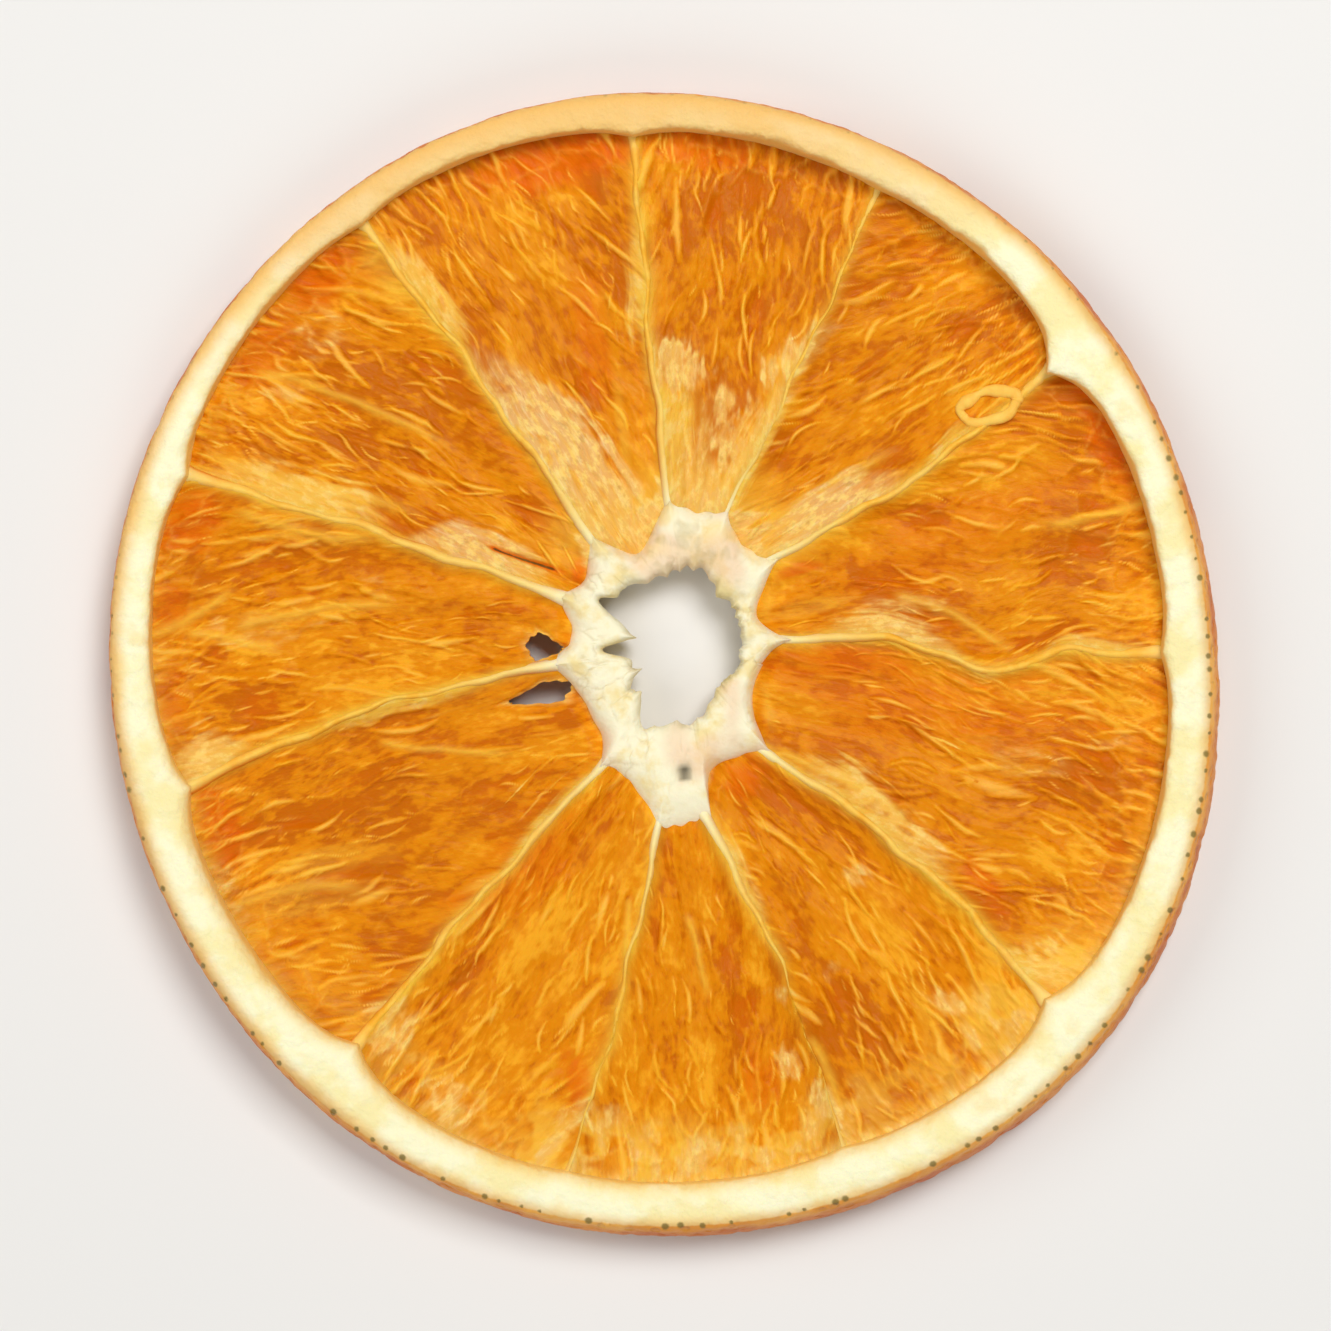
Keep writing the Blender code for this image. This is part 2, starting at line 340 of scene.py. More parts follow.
WALLS = (
    Wall(14, 1.5, -0.8, 0.7, 0.6, 0.50, 0.9, lean=(-9, -25),
         kinks=((0.26, 1.0, 0.15), (0.6, -0.6, 0.1), (0.76, 0.5, 0.09)),
         films=(Film(1, 0.06, 0.62, 1.9, 0.6), Film(-1, 0.4, 0.66, 0.6, 0.2),
                Film(1, 0.62, 1.05, 1.1, 0.25))),
    Wall(47, 37.5, -0.8, 2.4, 1.9, 0.55, 0.8, lean=(-16, -32),
         films=(Film(1, -0.12, 0.62, 2.6, 0.9), Film(1, 0.5, 0.8, 0.9, 0.1))),
    Wall(69, 66.0, -0.3, 2.8, 0.2, 0.25, 0.4, lean=(3, 0),
         films=(Film(1, -0.2, 0.66, 1.5, 0.4), Film(-1, -0.1, 0.5, 0.7, 0.2))),
    Wall(88, 93.5, 0.2, 2.9, 0.6, 0.40, 0.7, lean=(11, 15),
         films=(Film(-1, -0.1, 0.6, 1.9, 0.1), Film(-1, -0.4, 0.36, 4.6, 0.5),
                Film(1, 0.3, 0.9, 1.2, 0.1))),
    Wall(120, 124.6, -0.2, 2.2, 0.4, 0.50, 0.8, lean=(8, 16),
         films=(Film(-1, -0.15, 0.72, 4.8, 0.9), Film(-1, 0.5, 1.05, 1.8, 0.2))),
    Wall(146, 158.5, -0.25, 1.2, 0.8, 0.45, 0.9, lean=(2, 8),
         films=(Film(-1, 0.0, 0.52, 2.8, 0.9), Film(-1, 0.34, 1.1, 2.3, 0.25))),
    Wall(179, 194.5, -1.0, 0.6, 1.0, 0.50, 0.8, lean=(-18, -22),
         films=(Film(1, 0.1, 0.8, 1.0, 0.1), Film(-1, 0.74, 1.1, 2.6, 0.5))),
    Wall(240, 231.0, -0.35, 0.6, 1.3, 0.45, 0.75, lean=(-4, -20),
         films=(Film(-1, -0.05, 0.6, 0.7, 0.15),)),
    Wall(268, 259.0, 0.45, 2.6, 0.2, 0.30, 0.5, fades=0.75, lean=(0, 4)),
    Wall(283, 290.0, 0.8, 2.4, 0.4, 0.35, 0.8, fades=0.45, lean=(3, 10),
         films=(Film(1, -0.05, 0.5, 0.9, 0.4),)),
    Wall(317, 318.5, 1.1, 1.4, 1.1, 0.50, 0.9, lean=(6, 0),
         films=(Film(1, 0.0, 0.78, 2.1, 0.3), Film(1, 0.8, 1.1, 3.0, 0.3))),
)


@dataclass(frozen=True)
class Fold:
    """A raised crease of skin on the pulp, along a shallow arc between two places."""

    start: tuple[float, float]
    end: tuple[float, float]
    bow: float
    width: float = 0.28
    rise: float = 0.14

    def cover(self, places: Array, wander: Array) -> Array:
        """How much of the crease is at each place: a bell across the arc, thin at its ends.

        Args:
            places: Points seen from above.
            wander: How far the arc strays sideways at each point.

        Returns:
            Numbers from 0 to 1.
        """
        run = np.array(self.end) - np.array(self.start)
        length = float(np.linalg.norm(run))
        along, aside = turned(places, float(bearing(run)), self.start)
        share = along / length
        aside = aside + wander - 4.0 * self.bow * share * (1.0 - share)
        return bell(aside, self.width) * ease(share, -0.02, 0.12) * (1.0 - ease(share, 0.75, 1.03))


FOLDS = (
    Fold((5.2, 7.6), (13.8, 12.7), 0.3, 0.35, 0.22),
    Fold((3.6, 9.2), (6.6, 17.6), -0.3, 0.3, 0.12),
    Fold((-25.4, 9.0), (-16.0, 7.4), -0.5, 0.35, 0.18),
    Fold((-27.4, 12.4), (-14.0, 8.9), -0.3, 0.4, 0.18),
    Fold((-30.8, 1.4), (-25.2, 4.7), -0.3),
    Fold((-25.6, 2.0), (-15.2, 3.4), 0.5),
    Fold((-28.4, 1.9), (-22.4, 0.5), 0.2),
    Fold((-17.0, -4.6), (-8.6, -5.2), -0.1, 0.22, 0.10),
    Fold((-26.2, -14.6), (-17.2, -13.2), 0.8, 0.4, 0.22),
    Fold((28.6, 9.8), (21.6, 8.3), 0.5, 0.28, 0.14),
    Fold((-2.2, -13.6), (-2.5, -18.6), 0.1, 0.22, 0.10),
    Fold((13.2, 4.2), (20.6, 0.5), 0.4, 0.3, 0.18),
    Fold((6.0, -5.0), (14.6, -9.2), 0.3, 0.28, 0.12),
    Fold((8.4, -21.6), (10.6, -27.2), 0.2, 0.28, 0.12),
    Fold((-24.4, 17.4), (-12.2, 12.6), 0.4, 0.25, 0.10),
    Fold((1.2, -14.6), (2.4, -19.8), 0.1, 0.2, 0.10),
)


class Tint(Enum):
    """What a mark does to the pulp's colour."""

    # Deep marks lay the pulp's deep orange patches and, in places, painted shadow.
    DEEP_AND_SHADE = "deep_and_shade"
    GOLD = "gold"
    PALE = "film"


@dataclass(frozen=True)
class Mark:
    """A ragged blotch on the pulp, longer than it is wide."""

    middle: tuple[float, float]
    length: float
    width: float
    turn: float
    strength: float

    def cover(self, places: Array, ragged: Array, soft: float) -> Array:
        """How strong the mark is at each place: an ellipse with a soft and ragged edge.

        Args:
            places: Points seen from above.
            ragged: How far its edge strays at each point.
            soft: How softly it fades out.

        Returns:
            Numbers from 0 to the mark's strength.
        """
        along, aside = turned(places, self.turn, self.middle)
        inside = 1.0 - 0.75 * np.hypot(along / (self.length / 2), aside / (self.width / 2))
        shows = ease(inside + 0.5 * ragged, 0.22 - soft, 0.5 + soft) * (inside > -0.3)
        return self.strength * shows


SOFTNESS = {Tint.DEEP_AND_SHADE: 0.25, Tint.GOLD: 0.25, Tint.PALE: 0.15}
MARKS = {
    Tint.DEEP_AND_SHADE: (
        # Deep orange patches. The marks at (-6.5, 29.6), (2.2, 30.4), (26.0, 13.2) and (-20.3, 22.6), just
        # inside the rind, and at (10.5, 0.1), under the first wall's crest, are painted shadow of the rind
        # and of that crest.
        Mark((-6.5, 29.6), 10.0, 3.2, 11, 1.0),
        Mark((2.2, 30.4), 6.0, 2.6, -4, 0.9),
        Mark((-20.3, 22.6), 4.2, 3.0, 45, 0.9),
        Mark((-27.9, 8.8), 4.6, 3.2, 65, 0.9),
        Mark((-29.1, 3.6), 4.0, 2.0, 85, 0.6),
        Mark((-29.0, -2.6), 4.4, 1.8, 85, 0.6),
        Mark((-26.4, -9.4), 5.0, 2.6, -70, 0.9),
        Mark((-23.8, -17.4), 3.6, 2.2, -55, 0.7),
        Mark((26.0, 13.2), 7.5, 1.9, -62, 0.9),
        Mark((10.5, 0.1), 11.0, 1.9, -4, 0.7),
        Mark((4.6, -6.8), 3.0, 2.2, 30, 0.9),
        Mark((-9.0, -12.4), 9.0, 4.0, 38, 0.5),
        Mark((-4.2, 19.0), 8.0, 2.4, 100, 0.6),
        Mark((18.9, -13.2), 5.0, 1.5, -55, 0.8),
        Mark((-5.3, -24.0), 3.0, 1.6, 95, 0.8),
        Mark((5.6, -24.4), 3.4, 1.8, 95, 0.6),
        Mark((7.5, 5.4), 2.9, 0.7, 17, 1.1),
        Mark((-4.9, 5.8), 1.7, 0.9, 60, 1.3),
        Mark((16.0, -2.6), 20.0, 5.0, -6, 0.45),
        Mark((17.0, 7.2), 16.0, 4.0, 28, 0.35),
        Mark((-23.6, 18.4), 6.0, 2.6, 50, 0.7),
    ),
    Tint.GOLD: (
        Mark((-2.9, 8.6), 4.6, 3.0, 100, 1.0),
        Mark((2.4, 9.6), 3.0, 1.8, 30, 0.9),
        Mark((-16.3, 23.0), 5.6, 2.2, 125, 0.9),
        Mark((8.4, 3.2), 5.0, 1.3, 8, 0.8),
        Mark((5.9, 3.6), 2.6, 1.2, 80, 0.9),
        Mark((6.0, -2.6), 3.4, 1.0, 100, 0.9),
        Mark((1.4, 13.6), 8.0, 2.4, 97, 0.9),
        Mark((-6.2, 13.0), 10.0, 2.0, 122, 0.7),
        Mark((-2.6, 14.0), 9.0, 0.8, 96, 0.6),
        Mark((-19.5, -11.4), 6.0, 2.0, 12, 0.6),
        Mark((-28.2, -5.4), 5.0, 2.2, -25, 0.9),
        Mark((-22.0, -14.0), 8.0, 1.8, 8, 0.8),
        Mark((23.2, -18.0), 5.0, 3.8, -40, 1.5),
        Mark((-8.6, -28.2), 8.0, 2.4, -22, 0.8),
        Mark((2.0, -29.3), 11.0, 2.0, 2, 0.8),
        Mark((16.6, -21.6), 6.0, 2.6, -55, 0.6),
        Mark((1.2, 14.2), 5.0, 2.8, 95, 1.0),
    ),
    Tint.PALE: (
        Mark((8.6, 18.9), 3.4, 2.0, 40, 0.9),
        Mark((-20.4, 19.4), 3.6, 3.0, 150, 0.8),
        Mark((-22.6, 16.2), 3.0, 2.4, 150, 0.6),
        Mark((-24.0, 2.0), 7.0, 2.6, 10, 0.6),
        Mark((21.0, -5.6), 5.6, 2.2, -10, 0.6),
        Mark((-16.4, -21.2), 4.6, 3.2, 65, 1.1),
        Mark((13.8, 3.4), 6.0, 1.4, -6, 0.9),
        Mark((-17.0, 5.0), 3.2, 1.0, -8, 0.8),
        Mark((-26.0, -12.6), 2.6, 1.5, -50, 0.8),
        Mark((15.4, -10.2), 4.6, 1.8, -50, 0.9),
        Mark((26.2, -4.6), 3.2, 0.9, 5, 0.6),
        Mark((-12.6, -25.6), 4.6, 2.8, -40, 1.15),
        Mark((-4.8, -26.6), 4.2, 1.8, 5, 1.1),
        Mark((9.3, -25.6), 3.4, 1.8, -62, 1.4),
        Mark((7.3, -23.6), 2.6, 1.4, -60, 1.2),
        Mark((6.6, -19.3), 2.0, 1.4, 0, 1.1),
        Mark((-25.2, -15.2), 4.4, 1.5, -56, 1.0),
        Mark((0.7, 17.6), 4.8, 3.8, 10, 1.45),
        Mark((7.3, 17.8), 4.4, 2.8, 60, 1.3),
        Mark((3.3, 13.1), 6.6, 4.0, 82, 1.2),
        Mark((2.2, 10.2), 2.8, 3.4, 90, 1.15),
        Mark((21.6, -17.4), 3.0, 1.6, -40, 0.7),
        Mark((11.0, -12.5), 2.0, 1.4, -20, 1.05),
        Mark((16.4, -19.9), 2.6, 1.5, -30, 1.2),
        Mark((9.9, -17.8), 1.8, 1.2, 60, 1.1),
    ),
}


@dataclass(frozen=True)
class Tear:
    """A tear right through the pulp: a rounded wedge with its length along its own direction."""

    middle: tuple[float, float]
    length: float
    width: float
    turn: float
    taper: float

    def level(self, places: Array) -> Array:
        """How far out of the tear each place is: 1 on its edge, less inside.

        The edge is an ellipse whose width shrinks towards its tip by the taper, made ragged by
        two sine waves round it.

        Args:
            places: Points seen from above.

        Returns:
            A number for each place.
        """
        along, aside = turned(places, self.turn, self.middle)
        along = along / (self.length / 2)
        aside = aside / (self.width / 2) / np.clip(1.0 - self.taper * along, 0.2, 2.0)
        way = np.arctan2(aside, along)
        ragged = 0.07 * np.sin(5.0 * way + self.length) + 0.05 * np.sin(11.0 * way + self.turn)
        return np.hypot(along, aside) * (1.0 + ragged)


@dataclass
class SlicePlan:
    """The slice's form seen from above and its heights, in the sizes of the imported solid."""

    walls: tuple[Wall, ...] = WALLS
    outline_radius: float = 33.3
    outline_waves: Waves = (
        (1, 0.25, 296), (2, 0.67, 221), (3, 0.13, 246), (4, 0.10, 220), (5, 0.11, 167),
    )
    rind_width: float = 2.45
    rind_waves: Waves = ((1, 0.86, 306), (2, 0.14, 352), (3, 0.11, 201))
    rim_height: float = 4.4
    rim_waves: Waves = ((2, 0.16, 70), (3, 0.10, 200), (5, 0.05, 20))
    cusp_spread: float = 3.5
    outer_widest: float = 1.3
    foot_rise: float = 0.35
    curl_size: float = 0.5
    curl_direction: float = 40.0
    core_radius: float = 5.3
    core_top: float = 3.55
    core_under: float = 0.75
    reach_spread: float = 14.0
    hole_centre: tuple[float, float] = (1.2, 1.0)
    hole_half_size: tuple[float, float] = (3.3, 4.75)
    notches: Bells = (
        (152, 1.5, 6), (137, 1.2, 13), (182, 1.1, 5), (244, 1.0, 9), (305, -1.0, 26), (58, -0.6, 10),
    )
    pulp_top: float = 2.9
    pulp_under: float = 1.0
    under_share: float = 0.55
    field_varies: float = 0.12
    sag: float = 0.3
    sag_at_core: float = 0.3
    ridge_spread: float = 0.55
    moat_depth: float = 0.3
    moat_place: float = 0.9
    moat_spread: float = 0.08
    lumps: int = 3
    lump_size: float = 0.11
    lump_sway: float = 1.5
    tears: tuple[Tear, ...] = (
        Tear((-7.1, 1.0), 2.1, 1.35, -5.0, 0.6),
        Tear((-7.45, -1.8), 3.8, 1.1, 14.0, -0.6),
    )
    pit_place: tuple[float, float] = (1.1, -6.4)
    pit_radius: float = 0.55
    golden_direction: float = 258.0
    patches: Bells = ((268, 1.0, 36), (313, 0.9, 12))
    seed: int = 7
    shift: Array = field(init=False)
    levels: Array = field(init=False)
    phases: Array = field(init=False)

    def __post_init__(self) -> None:
        """Draw each field's level and phase, and find the shift that centres the outline."""
        draw = np.random.default_rng(self.seed)
        self.levels = self.field_varies * draw.uniform(-1, 1, len(self.walls))
        self.phases = draw.uniform(0, 2 * np.pi, len(self.walls))
        round_angles = np.linspace(0.0, 360.0, 1440, endpoint=False)
        outline = polar(self.outer_radius(round_angles), round_angles)
        middle = (outline.min(axis=0) + outline.max(axis=0)) / 2
        cad_middle = np.array([cad_low.x + cad_high.x, cad_low.y + cad_high.y]) / 2 / METRES
        self.shift = np.append(cad_middle - middle, cad_low.z / METRES)

    def sides(self, number: int) -> tuple[Wall, Wall]:
        """The walls before and after a field, which has the number of the one before it."""
        return self.walls[number], self.walls[(number + 1) % len(self.walls)]

    def outer_radius(self, angle: Array) -> Array:
        """Radius of the rind's outside."""
        return waves(angle, self.outline_radius, self.outline_waves)

    def foot_radius(self, angle: Array) -> Array:
        """Radius of the rind's inside, which runs in to a cusp at each wall."""
        cusps = (w.cusp * fading(np.abs(round_gap(angle, w.at_rind)), self.cusp_spread) for w in self.walls)
        return self.outer_radius(angle) - waves(angle, self.rind_width, self.rind_waves) - sum(cusps)

    def core_edge(self, angle: Array) -> Array:
        """Points of the core's edge, which runs out along each wall."""
        reaches = [(wall.at_core, wall.reach, self.reach_spread) for wall in self.walls]
        return polar(self.core_radius + bells(angle, reaches), angle)

    def hole_edge(self, core_points: Array) -> Array:
        """Points of the hole's torn edge: the radius of an ellipse plus a bell for each notch.

        Args:
            core_points: Points on the core's edge.

        Returns:
            The hole's points on the lines from those to its centre.
        """
        centre = np.array(self.hole_centre)
        angle = bearing(core_points - centre)
        half_x, half_y = self.hole_half_size
        radius = 1.0 / np.hypot(np.cos(np.radians(angle)) / half_x, np.sin(np.radians(angle)) / half_y)
        return centre + polar(radius + bells(angle, self.notches), angle)

    def curl(self, places: Array) -> Array:
        """How far the dried slice has curled up: a squared cosine round it, times radius cubed."""
        across = np.maximum(0.0, facing(2.0 * bearing(places), 2.0 * self.curl_direction))
        return self.curl_size * across**2 * (np.linalg.norm(places, axis=-1) / self.outline_radius) ** 3

    def golden_side(self, places: Array) -> Array:
        """How golden the pulp and the rind are where they meet: most at the lower left."""
        return ease(facing(bearing(places), self.golden_direction), -0.15, 0.75)

    def rim_patches(self, places: Array) -> Array:
        """Where gold and cream patches lie on the pulp beside the rind."""
        return np.max([bells(bearing(places), (patch,)) for patch in self.patches], axis=0)

    def direction(self, number: int, name: str, share: Array) -> Array:
        """Direction to a share of a field's width, from its walls' values of that name."""
        before, after = (getattr(wall, name) for wall in self.sides(number))
        return before + (after + 360.0 * (number + 1 == len(self.walls)) - before) * share

    def place(self, number: int, share: Array, along: Array) -> Array:
        """Points of a field of pulp, seen from above.

        Each share of the field's width is a line from the core's edge to the rind's foot, which
        strays sideways in between its two walls' ways.

        Args:
            number: The field's number.
            share: Share of the field's width.
            along: Share of the way from the core to the rind.

        Returns:
            The points.
        """
        core = self.core_edge(self.direction(number, "at_core", share))
        rind_angle = self.direction(number, "at_rind", share)
        run = polar(self.foot_radius(rind_angle), rind_angle) - core
        before, after = (wall.stray(along) for wall in self.sides(number))
        stray = before + (after - before) * share
        return core + run * along[..., None] + leftward(unit(run)) * stray[..., None]

    def field_width(self, number: int, along: Array) -> Array:
        """Width of a field at a share of the way from the core to the rind."""
        ends = [self.place(number, np.full(along.shape, share), along) for share in (0.0, 1.0)]
        return np.linalg.norm(ends[1] - ends[0], axis=-1) * 1.02


def write_mesh(
    name: str,
    points: Array,
    faces: Array,
    values: dict[str, Array],
    chart: Array | None = None,
) -> bpy.types.Object:
    """A smooth closed mesh object at the origin.

    Args:
        name: The object's name.
        points: Points in millimetres.
        faces: Corner numbers of the quads, anticlockwise seen from outside.
        values: A number for each point, by attribute name.
        chart: A pair of texture coordinates for each point.

    Returns:
        The object, linked into the scene.
    """
    mesh = bpy.data.meshes.new(name)
    mesh.vertices.add(len(points))
    mesh.vertices.foreach_set("co", (points * METRES).astype(np.float32).ravel())
    mesh.loops.add(faces.size)
    mesh.loops.foreach_set("vertex_index", faces.astype(np.int32).ravel())
    mesh.polygons.add(len(faces))
    mesh.polygons.foreach_set("loop_start", np.arange(0, faces.size, 4, dtype=np.int32))
    mesh.update(calc_edges=True)
    for label, numbers in values.items():
        layer = mesh.attributes.new(label, "FLOAT", "POINT")
        layer.data.foreach_set("value", numbers.astype(np.float32).ravel())
    if chart is not None:
        layer = mesh.uv_layers.new(name="chart")
        layer.uv.foreach_set("vector", chart[faces.ravel()].astype(np.float32).ravel())
    mesh.shade_smooth()
    piece = bpy.data.objects.new(name, mesh)
    bpy.context.scene.collection.objects.link(piece)
    return piece


def write_tube(
    name: str,
    points: Array,
    values: dict[str, Array],
    closed: bool = True,
    inward: bool = True,
) -> bpy.types.Object:
    """A mesh object of rings of points, each ring joined to the next.

    Args:
        name: The object's name.
        points: The points in millimetres, ring by ring.
        values: A number for each point, by attribute name; one row or column stands for all.
        closed: Whether the last ring joins the first. If not, each end is drawn to one point.
        inward: Whether the quads of the rings, as numbered, face in and are turned over.

    Returns:
        The object.
    """
    rings, stations = points.shape[:2]
    if not closed:
        points[[0, -1]] = points[[0, -1]].mean(axis=1, keepdims=True)
    ring = np.arange(rings if closed else rings - 1)[:, None]
    station = np.arange(stations)[None, :]
    after, beside = (ring + 1) % rings * stations, (station + 1) % stations
    corners = [ring * stations + station, after + station, after + beside, ring * stations + beside]
    faces = np.stack(corners[::-1] if inward else corners, axis=-1).reshape(-1, 4)
    values = {label: np.broadcast_to(value, (rings, stations)) for label, value in values.items()}
    return write_mesh(name, points.reshape(-1, 3), faces, values)


def section(over: int, under: int, outer: float, inner: float | Array) -> tuple[Array, Array, Array]:
    """The section of a ring, as superellipses over its top and under it.

    A point at a turn t round it lies at a share 0.5 - 0.5 cos(t)^p of the way in, with the
    cosine's sign kept, and has risen by sin(t)^p. The power p is 2 over the squareness.

    Args:
        over: Points over the top, from the outside to the inside.
        under: Points underneath, back to the outside.
        outer: Squareness of the outer half.
        inner: Squareness of the inner half.

    Returns:
        Each point's share of the way in, its rise and whether it is on top.
    """
    top, bottom = np.linspace(0, np.pi, over), np.linspace(np.pi, 2 * np.pi, under + 2)
    turn = np.concatenate([top, bottom[1:-1]])[None, :]
    power = 2.0 / np.where(np.cos(turn) > 0, outer, inner)
    share = 0.5 - 0.5 * np.sign(np.cos(turn)) * np.abs(np.cos(turn)) ** power
    return share, np.abs(np.sin(turn)) ** power, turn <= np.pi


def slab_faces(present: Array) -> Array:
    """Quads of a slab: an upper and a lower sheet over the same cells, joined at every rim.

    The points are the upper sheet's grid and then the lower sheet's. The first direction of the
    grid runs anticlockwise round the slice and the second outwards.

    Args:
        present: True for each cell of the grid that isn't torn away.

    Returns:
        The quads, facing out.
    """
    columns, rows = present.shape[0] + 1, present.shape[1] + 1
    number = np.arange(columns * rows).reshape(columns, rows)
    below = columns * rows
    corners = [number[:-1, :-1], number[:-1, 1:], number[1:, 1:], number[1:, :-1]]
    upper = np.stack([corner[present] for corner in corners], axis=-1)
    faces = [upper, upper[:, ::-1] + below]
    padded = np.pad(present, 1)
    neighbours = [padded[:-2, 1:-1], padded[1:-1, 2:], padded[2:, 1:-1], padded[1:-1, :-2]]
    for side, neighbour in enumerate(neighbours):
        rim = present & ~neighbour
        start, end = corners[side][rim], corners[(side + 1) % 4][rim]
        faces.append(np.stack([end, start, start + below, end + below], axis=-1))
    return np.concatenate(faces)


class Wire:
    """A node's output that takes part in Python expressions on numbers."""

    def __init__(self, bench: Bench, socket: bpy.types.NodeSocket) -> None:
        """Keep the socket and the bench that its node stands on."""
        self.bench = bench
        self.socket = socket

    def _math(self, operation: str, *values: Wire | float) -> Wire:
        """A Math node on this bench."""
        return self.bench.node("ShaderNodeMath", {"operation": operation}, dict(enumerate(values)))

    def __add__(self, other: Wire | float) -> Wire:
        """This plus the other."""
        return self._math("ADD", self, other)

    __radd__ = __add__

    def __mul__(self, other: Wire | float) -> Wire:
        """This times the other."""
        return self._math("MULTIPLY", self, other)

    __rmul__ = __mul__

    def __sub__(self, other: Wire | float) -> Wire:
        """This less the other."""
        return self._math("SUBTRACT", self, other)

    def __rsub__(self, other: Wire | float) -> Wire:
        """The other less this."""
        return self._math("SUBTRACT", other, self)

    def at_most(self, other: Wire | float) -> Wire:
        """The smaller of the two."""
        return self._math("MINIMUM", self, other)

    def step(self, low: float, high: float) -> Wire:
        """Smooth step from 0 at low to 1 at high."""
        settings = {"interpolation_type": "SMOOTHSTEP", "clamp": True}
        return self.bench.node("ShaderNodeMapRange", settings, {0: self, 1: low, 2: high, 3: 0.0, 4: 1.0})


class Bench:
    """A material's node tree, with short ways to add the nodes that the finishes use."""

    def __init__(self, name: str) -> None:
        """Start a material with only its output and its Principled shader.

        Args:
            name: The material's name.
        """
        self.material = bpy.data.materials.new(name)
        self.material.use_nodes = True
        self.tree = self.material.node_tree
        self.shader = self.tree.nodes["Principled BSDF"]

    def feed(self, made: bpy.types.Node, inputs: dict) -> None:
        """Link or set a node's inputs.

        Args:
            made: The node.
            inputs: Value or wire for each input, by number or name.
        """
        for key, value in inputs.items():
            if isinstance(value, Wire):
                self.tree.links.new(value.socket, made.inputs[key])
            else:
                made.inputs[key].default_value = value

    def node(self, kind: str, settings: dict, inputs: dict, output: int | str = 0) -> Wire:
        """Add one node.

        Args:
            kind: The node's type.
            settings: Its own settings, set first.
            inputs: Value or wire for each input, by number or name.
            output: Which output to use.

        Returns:
            The output, as a wire.
        """
        made = self.tree.nodes.new(kind)
        for name, value in settings.items():
            setattr(made, name, value)
        self.feed(made, inputs)
        return Wire(self, made.outputs[output])

    def value(self, name: str) -> Wire:
        """The mesh's own number of that name at each point."""
        settings = {"attribute_name": name, "attribute_type": "GEOMETRY"}
        return self.node("ShaderNodeAttribute", settings, {}, "Fac")

    def chart(self, across: float, along: float) -> Wire:
        """The piece's own texture coordinates, stretched."""
        scale = {0: self.node("ShaderNodeUVMap", {"uv_map": "chart"}, {}), 1: (across, along, 1.0)}
        return self.node("ShaderNodeVectorMath", {"operation": "MULTIPLY"}, scale)

    def place(self) -> Wire:
        """The place on the object, in metres."""
        return self.node("ShaderNodeTexCoord", {}, {}, "Object")

    def noise(self, where: Wire, scale: float, detail: float = 3.0, roughness: float = 0.6) -> Wire:
        """Cloudy noise round 0.5."""
        inputs = {"Vector": where, "Scale": scale, "Detail": detail, "Roughness": roughness}
        return self.node("ShaderNodeTexNoise", {"noise_dimensions": "3D"}, inputs, "Fac")

    def cells(self, where: Wire, scale: float) -> Wire:
        """Distance to the nearest of scattered points, in cells."""
        inputs = {"Vector": where, "Scale": scale, "Randomness": 0.9}
        return self.node("ShaderNodeTexVoronoi", {"feature": "F1"}, inputs, "Distance")

    def coats(self, base: Wire | Colour, *layers: tuple[Wire | float, Wire | Colour]) -> Wire:
        """A colour with others laid over it.

        Args:
            base: The lowest colour.
            layers: How much of each colour shows, and the colour, from the bottom up.

        Returns:
            The colour that shows.
        """
        for share, coat in layers:
            settings = {"data_type": "RGBA", "blend_type": "MIX"}
            base = self.node("ShaderNodeMix", settings, {0: share, 6: base, 7: coat}, 2)
        return base

    def bump(self, height: Wire, distance: float, strength: float) -> Wire:
        """Normal of a surface roughened by a height."""
        inputs = {"Strength": strength, "Distance": distance, "Height": height}
        return self.node("ShaderNodeBump", {}, inputs)

    def finish(self, glow: tuple[float, tuple, float], inputs: dict) -> bpy.types.Material:
        """Feed the shader, and give the material.

        Args:
            glow: How much light goes in under the surface, how far each colour of it goes there,
                and that distance's scale in metres.
            inputs: Value or wire for each other input, by name.

        Returns:
            The material.
        """
        names = ("Subsurface Weight", "Subsurface Radius", "Subsurface Scale")
        self.feed(self.shader, dict(zip(names, glow)) | inputs)
        return self.material


